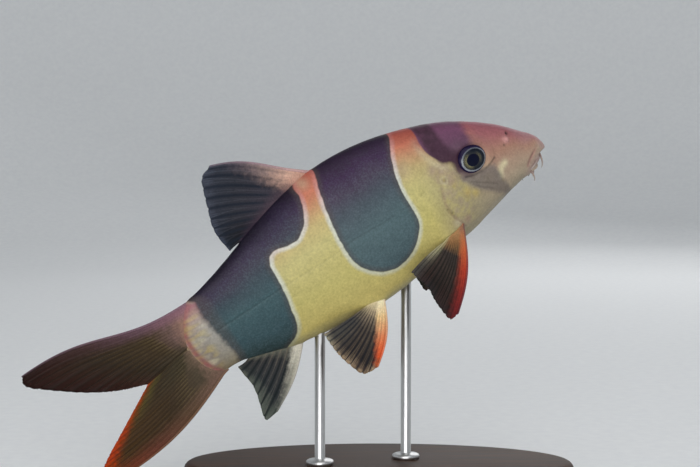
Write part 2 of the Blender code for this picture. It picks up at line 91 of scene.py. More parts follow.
BACK = smooth_line([
    (0, -0.5), (0.35, 0.6), (1.1, 2.3), (2.2, 3.7), (4.4, 5.6), (8.8, 9.4), (15.5, 13.8),
    (23, 17.5), (31, 20.0), (41, 22.1), (51, 22.9), (59, 22.4), (67, 20.5), (75, 17.8),
    (83, 14.5), (90, 11.6), (96, 9.5), (103, 8.3),
])
BELLY = smooth_line([
    (0, -0.5), (0.35, -0.95), (1.1, -1.2), (2.2, -1.3), (3.2, -1.7), (3.9, -2.7), (4.6, -3.7), (6, -4.6),
    (10, -5.2), (15, -6.3), (21, -8.0), (29, -10.2), (36, -11.2), (43, -12.4), (50, -13.6), (57, -14.3),
    (65, -14.1), (72, -13.8), (79, -13.0), (86, -11.3), (93, -10.0), (98, -10.2), (103, -10.9),
])
HALF_WIDTH = smooth_line([
    (0, 0.0), (0.35, 0.9), (1.1, 1.7), (2.4, 2.5), (4.4, 3.3), (8, 4.5), (13, 5.7),
    (19, 6.8), (26, 7.9), (34, 8.7), (44, 8.9), (54, 8.3), (64, 7.1), (74, 5.5),
    (84, 3.8), (92, 2.6), (98, 1.7), (103, 1.15),
])
WIDEST_LEVEL = smooth_line([
    (0, -0.5), (3, -0.6), (9, 0.4), (18, 1.4), (30, 1.6), (50, 1.2), (75, 0.4), (103, -1.0),
])
BACK_ROUNDNESS = smooth_line([(0, 2.0), (12, 2.15), (26, 2.05), (45, 1.85), (80, 1.9), (103, 2.1)])
BELLY_ROUNDNESS = smooth_line([(0, 2.0), (12, 2.3), (30, 2.2), (55, 2.3), (80, 2.0), (103, 2.1)])
GILL_EDGE = smooth_line([
    (-11, 28.7), (-8.5, 29.6), (-6, 31.1), (-3.9, 32.6), (-2, 33.6), (-0.4, 34.0), (1.8, 34.0),
    (4.1, 33.3), (5.8, 32.5), (7.5, 31.9), (9.5, 31.2), (23, 30.5),
])


def section_half(s, above):
    """Level of the widest line, reach from it to back or belly, and roundness on that side."""
    level = WIDEST_LEVEL(s)
    reach = np.where(above, BACK(s) - level, level - BELLY(s))
    return level, reach, np.where(above, BACK_ROUNDNESS(s), BELLY_ROUNDNESS(s))


def body_section(s, angle):
    """Skin points (s, y, h); the angle runs from the back down the right side and round."""
    up, out = np.cos(angle), -np.sin(angle)
    level, reach, roundness = section_half(s, up > 0)
    h = level + np.sign(up) * np.abs(up) ** (2 / roundness) * reach
    y = np.sign(out) * np.abs(out) ** (2 / roundness) * HALF_WIDTH(s)
    return np.stack([s, y, h], axis=-1)


def flank_width(s, h):
    """How far out the skin lies at a place on the flank."""
    level, reach, roundness = section_half(s, h > WIDEST_LEVEL(s))
    share = np.clip(np.abs(h - level) / reach, 0, 1)
    return HALF_WIDTH(s) * (1 - share ** roundness) ** (1 / roundness)


def place(spots):
    """World positions of (s, y, h) spots: the fish swims nose up, its tail swinging back."""
    s, y, h = np.moveaxis(np.asarray(spots, dtype=float), -1, 0)
    past = np.maximum(0.0, s - BEND_START)
    turn = 2 * BEND_RATE * past
    forward = MIDDLE_S - s + y * np.sin(turn)
    left = BEND_RATE * past * past + y * np.cos(turn)
    x = forward * math.cos(PITCH) - h * math.sin(PITCH)
    z = forward * math.sin(PITCH) + h * math.cos(PITCH)
    world = [
        x * math.cos(YAW) - left * math.sin(YAW),
        x * math.sin(YAW) + left * math.cos(YAW),
        z,
    ]
    return np.stack(world, axis=-1) * PERCENT + np.array([0, 0, FISH_HEIGHT])


def rounded_route(corners, steps=6):
    """A smooth line of points through a few corners of two or three coordinates."""
    corners = np.array(corners, dtype=float)
    marks = np.arange(len(corners))
    fine = np.linspace(0, len(corners) - 1, steps * (len(corners) - 1) + 1)
    return np.stack([smooth_line(list(zip(marks, column)))(fine) for column in corners.T], axis=-1)


def route_distance(spots, route):
    """Distance from each spot to a route, and the share of the way along it."""
    nearest = np.full(spots.shape[:-1], np.inf)
    share = np.zeros(spots.shape[:-1])
    for index, (here, following) in enumerate(zip(route[:-1], route[1:])):
        leg = following - here
        t = np.clip((spots - here) @ leg / (leg @ leg), 0, 1)
        distance = np.linalg.norm(spots - here - t[..., None] * leg, axis=-1)
        share = np.where(distance < nearest, (index + t) / (len(route) - 1), share)
        nearest = np.minimum(nearest, distance)
    return nearest, share


def outline_distance(spots, corners, steps=5):
    """Signed distance from a closed rounded outline in (s, h), negative inside it."""
    corners = np.array(corners, dtype=float)
    before, after, later = (np.roll(corners, shift, axis=0) for shift in (1, -1, -2))
    t = np.arange(steps)[:, None, None] / steps
    curve = corners + 0.5 * t * (
        after - before
        + t * (2 * before - 5 * corners + 4 * after - later + t * (3 * (corners - after) + later - before))
    )
    curve = curve.transpose(1, 0, 2).reshape(-1, 2)
    nearest, _ = route_distance(spots, np.vstack([curve, curve[:1]]))
    inside = np.zeros(nearest.shape, dtype=bool)
    s, h = spots[..., 0], spots[..., 1]
    for here, following in zip(curve, np.roll(curve, -1, axis=0)):
        crosses = (here[1] > h) != (following[1] > h)
        rise = following[1] - here[1] or 1e-9
        inside ^= crosses & (s < here[0] + (h - here[1]) * (following[0] - here[0]) / rise)
    return np.where(inside, -nearest, nearest)


SPACING_STEPS = 6000
CROWDING, HEAD_CROWDING = 0.12, 0.08
fine_s = np.linspace(SKIN_START, SKIN_END, SPACING_STEPS)
ring_count = np.cumsum(np.gradient(fine_s) / np.interp(fine_s, *np.array(RING_SPACING).T))
ring_places = np.interp(np.arange(1, ring_count[-1]), ring_count, fine_s)
ring_s = np.append(ring_places, SKIN_END)[:, None] * np.ones(SKIN_COLUMNS)
# Columns crowd towards the middle of each flank, most of all on the head with its fine marks
turn = 2 * math.pi * (np.arange(SKIN_COLUMNS) + 0.5) / SKIN_COLUMNS
crowding = CROWDING + HEAD_CROWDING * (1 - ramp(24, 40, ring_s))
ring_angle = turn + crowding * np.sin(2 * turn)

# The tail end of the skin leans and rounds off, as the fleshy root of the tail fin does
TAIL_MIDDLE_H, TAIL_HALF_HEIGHT = -1.2, 9.6
TAIL_LEAN = 3.4
TAIL_FLATTENING, TAIL_LOWERING = 0.92, 0.07
plain_h = body_section(ring_s, ring_angle)[..., 2]
lean = TAIL_LEAN * ramp(89.6, 101.6, ring_s) * ((plain_h - TAIL_MIDDLE_H) / TAIL_HALF_HEIGHT) ** 2
skin = body_section(ring_s - lean, ring_angle)
closing = ramp(100.2, SKIN_END, ring_s)
skin[..., 1] *= np.sqrt(1 - TAIL_FLATTENING * closing ** 2)
skin[..., 2] = TAIL_MIDDLE_H + (skin[..., 2] - TAIL_MIDDLE_H) * (1 - TAIL_LOWERING * closing ** 2)

# The gill cover stands proud of the flank, most at its middle
COVER_RISE, FLANK_DROP = 0.30, 0.15
COVER_MIDDLE_H, COVER_REACH = 1.0, 7.0
s, y, h = np.moveaxis(skin, -1, 0)
edge_s = GILL_EDGE(h)
behind = ramp(edge_s - 0.15, edge_s + 0.4, s)
cover = COVER_RISE * ramp(24.0, 32.0, s) * (1 - behind)
flank = -FLANK_DROP * (1 - ramp(33.0, 40.0, s)) * behind
skin[..., 1] += np.sign(y) * (cover + flank) * np.exp(-((h - COVER_MIDDLE_H) / COVER_REACH) ** 2)


def skin_normals(spots):
    """Unit normals of the skin's grid of spots, pointing outwards."""
    wrapped = np.concatenate([spots[:, -1:], spots, spots[:, :1]], axis=1)
    across = np.gradient(wrapped, axis=1)[:, 1:-1]
    along = np.gradient(spots, axis=0)
    normals = np.cross(across, along)
    return normals / np.maximum(np.linalg.norm(normals, axis=-1, keepdims=True), 1e-12)


# Lips and nostril flaps are rounded forms that rise out of the skin: (s, y, h) and a radius
UPPER_LIP = [
    (7.0, 2.75, -3.3, 0.35), (5.4, 2.45, -2.6, 0.6), (4.2, 1.75, -2.15, 0.75), (3.55, 0.8, -1.95, 0.8),
    (3.4, 0.0, -1.9, 0.8),
]
LOWER_LIP = [
    (7.2, 2.55, -3.9, 0.3), (5.9, 2.1, -3.85, 0.5), (5.0, 1.2, -3.7, 0.65), (4.55, 0.35, -3.55, 0.6),
    (4.5, 0.0, -3.5, 0.55),
]
NOSTRIL_HOLE = (9.6, 7.6)
NOSTRIL_FLAP, FLAP_RADIUS, FLAP_SINK = (11.1, 6.6), 0.85, 0.15
NOSTRIL_SECOND = (12.2, 5.7)
FILLET = 0.07

normals = skin_normals(skin)
mirrored = np.stack([skin[..., 0], np.abs(skin[..., 1]), skin[..., 2]], axis=-1)
mirrored_normals = normals * np.stack([np.ones_like(y), np.sign(y), np.ones_like(y)], axis=-1)


def rounded_lift(centres, radii):
    """How far the skin rises to reach the top of round forms, given as centres and radii."""
    lift = np.full(mirrored.shape[:-1], -1.0)
    for centre, radius in zip(centres, radii):
        offset = centre - mirrored
        height = np.sum(offset * mirrored_normals, axis=-1)
        spread = np.sum(offset * offset, axis=-1) - height ** 2
        top = height + np.sqrt(np.maximum(radius ** 2 - spread, 0))
        lift = np.where(spread < radius ** 2, np.maximum(lift, top), lift)
    return FILLET * np.logaddexp(0, lift / FILLET) - FILLET * np.logaddexp(0, -1 / FILLET)


def groove(distance, half_width):
    """The profile of a soft groove: 1 on its line, falling off to both sides."""
    return np.exp(-(distance / (half_width * PER_MM)) ** 2)


def spot_distance(spot):
    """Distance on the flank from one spot."""
    return np.hypot(s - spot[0], h - spot[1])


def noise_at(spots, scale=1.0):
    """Smooth noise at each spot, with forms about 1 / scale across."""
    values = [noise.noise(Vector(spot) * scale) for spot in spots.reshape(-1, 3)]
    return np.array(values).reshape(spots.shape[:-1])


relief = np.zeros(s.shape)
for lip in (UPPER_LIP, LOWER_LIP):
    centres = rounded_route(lip, 24)
    relief = np.maximum(relief, rounded_lift(centres[:, :3], centres[:, 3]))
flap = np.array([[NOSTRIL_FLAP[0], flank_width(*NOSTRIL_FLAP) - FLAP_SINK, NOSTRIL_FLAP[1]]])
relief = np.maximum(relief, rounded_lift(flap, [FLAP_RADIUS]))

# The mouth and the crease above it: routes in (s, y, h), depths and half widths in mm
MOUTH_LINE = [(3.85, 0, -2.8), (4.1, 0.8, -2.9), (4.9, 1.6, -3.1), (6.0, 2.25, -3.35), (7.6, 2.8, -3.7)]
LIP_CREASE = [(2.5, 2.4, 1.2), (4.5, 3.1, 0.3), (6.2, 3.9, -0.5), (8.0, 4.2, -1.6), (8.4, 4.1, -2.6)]
MOUTH_DEPTH, MOUTH_HALF_WIDTH = 0.42, 0.26
CREASE_DEPTH, CREASE_HALF_WIDTH = 0.26, 0.40
# Folds of the flank: depth and half width in mm, then the route in (s, h)
FOLDS = {
    "slit": (0.30, 0.30, [(26.2, 4.2), (24.3, 3.6), (21.8, 3.35), (19.2, 3.65), (17.6, 4.1), (16.5, 4.5)]),
    "cheek": (0.08, 0.35, [(25.3, 2.5), (23.2, 1.2), (20.4, -0.4), (18.6, -1.6)]),
    "cheek_low": (0.07, 0.35, [(25.2, 1.7), (23.0, -0.1), (20.2, -1.9)]),
    "cover": (0.12, 0.7, [(28.6, 7.6), (29.1, 4.6), (28.5, 1.0), (27.0, -2.2), (24.4, -4.8), (20.5, -6.2)]),
    "throat": (0.10, 0.6, [(31.0, -7.4), (27.0, -7.6), (22.0, -6.9), (16.0, -5.6)]),
    "gill": (0.16, 0.35, [
        (31.3, 9.3), (32.0, 7.5), (32.6, 5.8), (33.5, 4.1), (34.15, 1.8), (34.15, -0.4), (33.7, -2.2),
        (32.5, -4.2), (31.0, -6.4),
    ]),
    "lateral": (0.09, 0.3, [
        (31.8, 8.4), (39.4, 5.7), (45.3, 5.0), (51.1, 4.6), (57.6, 4.4), (63.2, 3.5), (68.9, 2.8),
        (74.5, 2.3), (88.0, 0.6), (100.5, -1.0),
    ]),
    "tail": (0.10, 0.5, [
        (98.6, 7.6), (100.6, 5.8), (102.0, 3.6), (102.5, 1.2), (102.4, -1.6), (101.8, -4.4), (100.4, -7.6),
        (98.6, -9.8),
    ]),
}
COVER_PIT = (31.8, 6.2)

side_spots = skin[..., [0, 2]]
on_side = ramp(0.25, 0.6, np.abs(normals[..., 1]))
mouth, mouth_share = route_distance(mirrored, rounded_route(MOUTH_LINE))
lip_crease, lip_crease_share = route_distance(mirrored, rounded_route(LIP_CREASE))
relief -= MOUTH_DEPTH * PER_MM * groove(mouth, MOUTH_HALF_WIDTH) * (1 - ramp(0.85, 1.0, mouth_share))
relief -= CREASE_DEPTH * PER_MM * groove(lip_crease, CREASE_HALF_WIDTH) * np.sin(math.pi * lip_crease_share)
near, share_along = {}, {}
for name, (depth, half_width, route) in FOLDS.items():
    near[name], share_along[name] = route_distance(side_spots, rounded_route(route))
    relief -= on_side * PER_MM * depth * groove(near[name], half_width)
PITS = [(NOSTRIL_HOLE, 0.62, 0.44), (NOSTRIL_SECOND, 0.40, 0.30), (COVER_PIT, 0.10, 0.3)]
for spot, depth, half_width in PITS:
    relief -= depth * PER_MM * groove(spot_distance(spot), half_width)

# Flesh swells round the roots of the fins: the root's line, then rise and half width in mm
DORSAL_ROOT = [(59.4, 0, 22.6), (66, 0, 20.9), (73, 0, 18.7), (80.4, 0, 15.8)]
ANAL_ROOT = [(78.6, 0, -13.2), (82.5, 0, -12.3), (86.5, 0, -11.3), (91.0, 0, -10.4)]
PELVIC_ROOT = [(57.2, 4.3, -13.1), (59.4, 4.7, -12.5), (61.8, 4.9, -11.9)]
PECTORAL_ROOT = [(32.0, 7.3, -6.2), (34.4, 7.5, -6.8), (37.4, 7.8, -7.0)]
for root, rise, half_width in (
    (DORSAL_ROOT, 0.30, 1.3), (ANAL_ROOT, 0.35, 1.3), (PELVIC_ROOT, 0.5, 1.7), (PECTORAL_ROOT, 0.55, 1.9),
):
    distance, _ = route_distance(mirrored, rounded_route(root))
    relief += rise * PER_MM * groove(distance, half_width)
# Low waves of the flesh: their height in mm, and how many lie in one percent of length
WAVE_HEIGHT, WAVE_RATE = 0.06, 0.45
relief += WAVE_HEIGHT * PER_MM * noise_at(skin, WAVE_RATE) * ramp(4, 14, s)
skin += normals * relief[..., None]

# Round each eye the skin lies flat, rises to a rim, dips, and passes under the eyeball
EYE_S, EYE_H = 22.5, 7.15
EYE_RADIUS = 4.4
EYE_LENGTH, EYE_LENGTH_AHEAD = 1.10, 1.30
EYE_DOME_DEPTH, EYE_BACK_DEPTH = 2.8, 1.4
EYE_SINK = 1.5
EYE_LOOK = (0.12, 1.0, 0.12)
EYE_HOLD, EYE_RELEASE = 4.9, 7.4
SKIN_LEVEL_ROUND_EYE = [
    (0.0, 2.45), (1.5, 2.28), (2.6, 1.9), (3.4, 1.4), (3.75, 1.16), (3.98, 1.10), (4.2, 1.32),
    (4.55, 1.66), (4.95, 1.72), (5.6, 1.58), (6.6, 1.5),
]


def eye_frame(side):
    """Centre of an eyeball with its look, forward and third directions, in (s, y, h)."""
    look = np.array([-EYE_LOOK[0], side * EYE_LOOK[1], EYE_LOOK[2]])
    look /= np.linalg.norm(look)
    spot = np.array([EYE_S, side * float(flank_width(EYE_S, EYE_H)), EYE_H])
    ahead = np.array([-1.0, 0.0, 0.0])
    forward = ahead - look * (ahead @ look)
    forward /= np.linalg.norm(forward)
    upward = np.cross(look, forward)
    return spot - look * EYE_SINK * PER_MM, look, forward, upward * np.sign(upward[2])


for side in (-1, 1):
    centre, look, forward, upward = eye_frame(side)
    offset = skin - centre
    height = offset @ look
    ahead = offset @ forward
    ahead = ahead / np.where(ahead > 0, EYE_LENGTH_AHEAD, EYE_LENGTH)
    radius = np.hypot(ahead, offset @ upward) / PER_MM
    level = np.interp(radius, *np.array(SKIN_LEVEL_ROUND_EYE).T) * PER_MM
    hold = (1 - ramp(EYE_HOLD, EYE_RELEASE, radius)) * (skin[..., 1] * side > 0)
    skin += (hold * (level - height))[..., None] * look

# Band outlines, read off the fish's side
SADDLE = [
    (57.6, 25.0), (58.1, 22.4), (60.0, 17.2), (61.0, 11.2), (61.3, 5.3), (60.7, 0.0), (58.8, -3.2),
    (55.8, -5.7), (51.8, -6.8), (47.0, -5.4), (43.6, -2.0), (42.3, 1.3), (42.6, 5.2), (42.8, 9.3),
    (42.0, 13.4), (40.2, 17.5), (37.3, 21.4), (36.2, 24.5),
]
REAR_BAND = [
    (64.5, 24.0), (64.4, 20.8), (64.4, 18.9), (64.9, 17.0), (65.8, 14.5), (67.4, 12.2), (69.6, 10.5),
    (72.4, 10.1), (75.2, 10.5), (77.1, 9.7), (78.0, 7.5), (77.9, 4.1), (77.9, 0.4), (78.1, -3.9),
    (78.4, -7.9), (79.6, -10.4), (81.8, -11.9), (84.5, -14.5), (92.8, -13.0), (93.7, -9.3), (93.9, -7.5),
    (94.5, -5.5), (95.2, -2.9), (95.9, -0.1), (97.0, 2.8), (97.4, 5.4), (97.1, 7.6), (96.6, 12.0),
]
HEAD_BAND = [
    (31.4, 24.0), (31.7, 19.6), (32.5, 16.2), (32.2, 13.6), (31.0, 11.2), (29.8, 9.6), (28.0, 8.7),
    (27.9, 7.3), (27.9, 5.6), (26.8, 4.0), (24.2, 3.6), (22.0, 4.2), (20.9, 5.4), (20.6, 7.5),
    (20.4, 9.6), (20.3, 11.0), (20.1, 12.8), (19.4, 14.7), (18.5, 16.6), (18.0, 22.0),
]
CHEEK_PATCH = [
    (27.6, 4.9), (26.9, 2.8), (23.8, -0.7), (20.6, -2.9), (18.2, -4.6), (17.0, -6.0), (15.9, -8.5),
    (13.2, -7.5), (14.6, -5.2), (15.6, -3.4), (16.4, -1.0), (17.0, 1.2), (17.6, 3.2), (19.4, 3.9),
    (23.0, 4.4),
]
MAROON_STRIP = [(29.2, 21.0), (29.2, 18.0), (29.5, 15.6), (29.2, 12.8), (28.2, 10.4), (26.4, 8.6)]
PALE_STRIPE = [(14.4, 2.0), (15.6, 1.6), (16.5, 0.8), (16.9, -0.2), (16.9, -1.6)]
PALE_BEHIND_EYE = [(28.4, 7.6), (27.9, 6.2), (26.8, 4.2)]
COVER_MARK, COVER_RING = (31.9, 6.2), 1.0
LATERAL_DASH = 1.25
TAIL_STREAK = 1.6
CHEEK_SOFTNESS = 0.95


def marks(*places):
    """The strongest of some soft round marks: strength, place in s and h, half width in mm."""
    return np.maximum.reduce([
        strength * groove(spot_distance((mark_s, mark_h)), width)
        for strength, mark_s, mark_h, width in places
    ])


# Distances from the band outlines in mm, and from the routes in percent of length
side_spots = skin[..., [0, 2]]
s, y, h = np.moveaxis(skin, -1, 0)
saddle_mm, rear_mm, head_mm, cheek_mm = (
    outline_distance(side_spots, outline) / PER_MM
    for outline in (SADDLE, REAR_BAND, HEAD_BAND, CHEEK_PATCH)
)
maroon, _ = route_distance(side_spots, rounded_route(MAROON_STRIP))
pale_stripe, pale_share = route_distance(side_spots, rounded_route(PALE_STRIPE))
pale_eye, _ = route_distance(side_spots, rounded_route(PALE_BEHIND_EYE))
upper_lip, lower_lip = (
    route_distance(mirrored, rounded_route(lip)[:, :3])[0] for lip in (UPPER_LIP, LOWER_LIP)
)
head_softness = 0.3 + 1.35 * (1 - ramp(21.5, 26, s)) + 1.1 * (1 - ramp(6.0, 13.0, h))
# The rear band fades out over the tail base, where its edge is soft and streaky
trunk_softness = 1 + 2.6 * ramp(90.5, 94.5, s) * ramp(10.5, 6.0, h)
in_dark = np.minimum(saddle_mm, rear_mm) < 0
patches = noise_at(np.stack([0.22 * s, 0.5 * y, 0.95 * h], axis=-1))
tail_height = np.abs(h - TAIL_MIDDLE_H)
streaks = 0.5 + 0.5 * np.cos(2 * math.pi * tail_height / TAIL_STREAK)
dashes = 0.5 + 0.5 * np.sin(2 * math.pi * s / LATERAL_DASH)
crease_ends = ramp(0.0, 0.3, lip_crease_share) * ramp(1.0, 0.9, lip_crease_share)
slit_ends = 0.5 + 0.5 * np.abs(2 * share_along["slit"] - 1) ** 1.5

# Numbers stored on the skin: the places of the bands, and how strong each kind of mark is
skin_numbers = {
    "height_share": np.clip((h - BELLY(s)) / np.maximum(BACK(s) - BELLY(s), 0.1), 0, 1),
    "along": s / 100,
    "trunk_band": np.minimum(saddle_mm, rear_mm) / trunk_softness,
    "head_band": head_mm / head_softness,
    "cheek_patch": cheek_mm / CHEEK_SOFTNESS,
    "maroon": 1 - ramp(1.8, 4.0, maroon / PER_MM),
    "lip": np.maximum.reduce([
        0.8 * groove(upper_lip, 2.2),
        0.8 * groove(lower_lip, 1.2),
        0.7 * (1 - ramp(1.0, 3.6, s)),
        0.45 * (1 - ramp(3.0, 10.0, s)) * ramp(1.5, 4.0, h),
    ]),
    "mauve": marks(
        (0.75, 31.3, 8.3, 2.6), (0.65, 33.2, 9.4, 1.8), (0.75, 29.9, 5.8, 2.2), (0.42, 40.2, 13.2, 3.0),
        (0.35, 32.2, 3.0, 1.6),
    ),
    "gold": np.maximum.reduce([
        marks(
            (0.75, 27.6, 0.8, 1.5), (0.40, 30.0, 4.0, 1.2), (0.55, 25.6, -0.4, 1.4), (0.45, 27.8, 6.5, 0.5),
            (0.22, 20.5, 1.2, 2.2), (0.80, *COVER_MARK, 0.35),
        ),
        0.35 * groove(pale_stripe, 0.5),
        0.45 * streaks * ramp(99.4, 102.0, s) * ramp(8.0, 4.0, tail_height),
        0.40 * ramp(96.5, 98.5, s) * ramp(0.0, 0.35, -patches) * ramp(8.5, 6.0, tail_height),
    ]),
    "pale": np.maximum.reduce([
        marks((0.75, 32.9, -4.5, 0.9), (0.36, 62.2, 21.0, 1.9)),
        0.75 * groove(pale_stripe, 1.1) * (1 - ramp(0.8, 1.0, pale_share)),
        0.40 * groove(lower_lip, 1.0),
        0.40 * groove(pale_eye, 0.5),
        0.50 * groove(spot_distance(COVER_MARK) - COVER_RING * PER_MM, 0.3),
        0.35 * np.exp(-(head_mm - 1.3) ** 2) * ramp(24, 27, s) * ramp(7.0, 9.0, h) * (1 - ramp(14, 19, h)),
        0.42 * ramp(96.5, 98.0, s) * ramp(-0.05, 0.35, patches) * (1 - 0.55 * ramp(99.2, 100.8, s)),
    ]),
    "pink": np.maximum.reduce([
        marks((0.40, *NOSTRIL_HOLE, 1.0), (0.55, 32.6, 16.6, 1.6), (0.30, 30.0, -5.0, 1.2)),
        0.45 * groove(near["gill"] + 0.25, 0.45) * ramp(8.0, 3.0, h),
        0.90 * groove(near["tail"], 0.9) * ramp(95.5, 98, s) * np.clip(0.75 + 0.9 * patches, 0.3, 1),
        0.45 * groove(lip_crease, 0.5) * crease_ends,
    ]),
    "flap": marks((0.95, *NOSTRIL_FLAP, 0.95)),
    "cover_middle": 0.38 * ramp(24.5, 29, s) * ramp(35.5, 33.0, s) * ramp(-10, -4, h) * ramp(11, 6, h),
    # Painted shade in the grooves and pits: nostrils, mouth, the slit under the eye, cheek folds, the lip
    # crease, the gill edge, the pit in the gill cover and the dashed lateral line
    "crease_shade": np.maximum.reduce([
        marks(
            (0.95, *NOSTRIL_HOLE, 0.50), (0.70, *NOSTRIL_SECOND, 0.34), (0.55, 34.3, -0.4, 0.35),
            (0.50, 33.6, -1.7, 0.35),
        ),
        0.35 * groove(spot_distance(COVER_MARK), 0.55) * (1 - groove(spot_distance(COVER_MARK), 0.25)),
        0.95 * groove(mouth, 0.3) * (1 - ramp(0.8, 1.0, mouth_share)),
        0.75 * slit_ends * groove(near["slit"], 0.30),
        0.30 * groove(near["cheek"], 0.25),
        0.22 * groove(near["cheek_low"], 0.25),
        0.30 * groove(lip_crease, 0.28) * np.sin(math.pi * lip_crease_share),
        np.where(in_dark, 0.20, 0.22 * dashes) * groove(near["lateral"], 0.22) * ramp(35, 38, s),
        0.12 * groove(near["gill"], 0.4),
    ]),
}


def store_numbers(mesh, numbers):
    """Store named numbers at the vertices of a mesh."""
    for label, values in numbers.items():
        layer = mesh.attributes.new(label, "FLOAT", "POINT")
        layer.data.foreach_set("value", np.asarray(values, dtype=np.float32).ravel())


def grid_mesh(name, spots, numbers=None, flip=False):
    """A mesh of quads over rings of world spots, with named numbers stored at its vertices."""
    rows, columns = spots.shape[:2]
    index = np.arange(rows * columns).reshape(rows, columns)
    index = np.concatenate([index, index[:, :1]], axis=1)
    quads = np.stack([index[:-1, :-1], index[:-1, 1:], index[1:, 1:], index[1:, :-1]], axis=-1)
    quads = quads.reshape(-1, 4)
    mesh = bpy.data.meshes.new(name)
    mesh.from_pydata(spots.reshape(-1, 3).tolist(), [], quads[:, ::-1].tolist() if flip else quads.tolist())
    store_numbers(mesh, numbers or {})
    return mesh


def open_mesh(mesh, close_ends=False):
    """Open a mesh for editing, with a face over each open end if asked."""
    work = bmesh.new()
    work.from_mesh(mesh)
    if close_ends:
        bmesh.ops.holes_fill(work, edges=[edge for edge in work.edges if edge.is_boundary], sides=0)
    return work


def write_mesh(work, mesh):
    """Turn all faces outwards and write an edited mesh back."""
    bmesh.ops.recalc_face_normals(work, faces=work.faces)
    work.to_mesh(mesh)
    work.free()


def link_piece(name, mesh, finish=None, sharp_degrees=None):
    """An object at the origin for a finished mesh, smooth but for edges sharper than an angle."""
    mesh.shade_smooth()
    if sharp_degrees:
        mesh.set_sharp_from_angle(angle=math.radians(sharp_degrees))
    if finish:
        mesh.materials.append(finish)
    piece = bpy.data.objects.new(name, mesh)
    bpy.context.scene.collection.objects.link(piece)
    return piece


skin_mesh = grid_mesh("fish_skin", place(skin), skin_numbers)
work = open_mesh(skin_mesh)
ring, last = list(work.verts)[:SKIN_COLUMNS], list(work.verts)[-SKIN_COLUMNS:]
snout_tip = work.verts.new(place(SNOUT_TIP))
for label in ("height_share", "along", "trunk_band", "head_band", "cheek_patch", "lip"):
    layer = work.verts.layers.float[label]
    snout_tip[layer] = ring[0][layer]
for here, following in zip(ring, ring[1:] + ring[:1]):
    work.faces.new((following, here, snout_tip))
for column in range(SKIN_COLUMNS // 2 - 1):
    work.faces.new((last[column], last[column + 1], last[-2 - column], last[-1 - column]))
write_mesh(work, skin_mesh)


def linear(colour):
    """Linear RGBA of an sRGB hex colour."""
    channels = [int(colour[start:start + 2], 16) / 255 for start in (1, 3, 5)]
    return (*[c / 12.92 if c <= 0.04045 else ((c + 0.055) / 1.055) ** 2.4 for c in channels], 1.0)


def add_node(tree, kind, inputs=(), output=0, stops=None, **settings):
    """Add a node with its settings, inputs and colour stops; gives one output socket.

    A shader node goes by its type's name without the first word. Inputs are a list in the order
    of the sockets, or a dict by their names or numbers. A hex colour is made linear.
    """
    node = tree.nodes.new(kind if "Node" in kind else "ShaderNode" + kind)
    for setting, value in settings.items():
        setattr(node, setting, value)
    for socket, value in inputs.items() if isinstance(inputs, dict) else enumerate(inputs):
        if isinstance(value, bpy.types.NodeSocket):
            tree.links.new(value, node.inputs[socket])
        else:
            is_colour = isinstance(value, str) and value.startswith("#")
            node.inputs[socket].default_value = linear(value) if is_colour else value
    if stops:
        elements = node.color_ramp.elements
        elements[0].position, elements[1].position = stops[0][0], stops[-1][0]
        elements[0].color, elements[1].color = linear(stops[0][1]), linear(stops[-1][1])
        for position, colour in stops[1:-1]:
            elements.new(position).color = linear(colour)
    return node.outputs[output] if node.outputs else node


def new_finish(name):
    """An empty node material and its tree."""
    finish = bpy.data.materials.new(name)
    finish.use_nodes = True
    finish.node_tree.nodes.clear()
    return finish, finish.node_tree


# Painted and lacquered resin: satin, faintly moist, with soft airbrushed edges and fine speckle
skin_finish, tree = new_finish("airbrushed_satin_fish_skin")
spots_node = add_node(tree, "TexCoord", output=3)
stored = {label: add_node(tree, "Attribute", output=2, attribute_name=label) for label in skin_numbers}
# Speckle of pigment cells 0.7 mm across, blotches of 2.4 mm, and slow drifts of 11 mm
speckle = add_node(tree, "TexNoise", {
    "Vector": spots_node, "Scale": 1500.0, "Detail": 3.0, "Roughness": 0.6,
})
blotch = add_node(tree, "TexNoise", {"Vector": spots_node, "Scale": 420.0, "Detail": 2.0})
drift = add_node(tree, "TexNoise", {"Vector": spots_node, "Scale": 90.0, "Detail": 2.0})
wander = add_node(tree, "Math", [drift, 0.12, -0.06], operation="MULTIPLY_ADD")
shifted_height = add_node(tree, "Math", [stored["height_share"], wander], operation="ADD")
# Colours from belly (0) to back (1). The darker lowest stops are partly painted shade under the belly, and
# the darkest top stops of the trunk band are painted shade at the root of the dorsal fin
PAINTS = {
    "snout": [
        (0.0, "#8F8570"), (0.2, "#A1917B"), (0.42, "#A58B77"), (0.62, "#A17A68"), (0.82, "#996062"),
        (1.0, "#8A4B58"),
    ],
    "gill_cover": [
        (0.0, "#948A70"), (0.3, "#9C9172"), (0.5, "#A59B76"), (0.68, "#AC9C72"), (0.84, "#A87A60"),
        (0.93, "#A25543"), (1.0, "#8E4039"),
    ],
    "trunk": [
        (0.0, "#A09870"), (0.10, "#C0B069"), (0.32, "#B8AD6A"), (0.60, "#BCB277"), (0.73, "#BAA771"),
        (0.83, "#BA8A64"), (0.92, "#BA6C54"), (1.0, "#9C4C40"),
    ],
    "tail_root": [
        (0.0, "#74644E"), (0.2, "#7C7268"), (0.55, "#8A827A"), (0.72, "#907A6C"), (0.9, "#8E5C60"),
        (1.0, "#7A4C5C"),
    ],
    "cheek_patch": [(0.10, "#6A5F58"), (0.30, "#6B635F"), (0.50, "#736B68")],
    "head_band": [
        (0.45, "#6A5A58"), (0.62, "#5A464C"), (0.76, "#5C4052"), (0.90, "#6C425D"), (1.0, "#5F3A4E"),
    ],
    "trunk_band": [
        (0.0, "#3B4544"), (0.2, "#43565B"), (0.5, "#4E6266"), (0.68, "#434B54"), (0.79, "#413649"),
        (0.88, "#351C3F"), (0.95, "#28132F"), (1.0, "#1C0D21"),
    ],
}
paints = {name: add_node(tree, "ValToRGB", [shifted_height], stops=stops) for name, stops in PAINTS.items()}
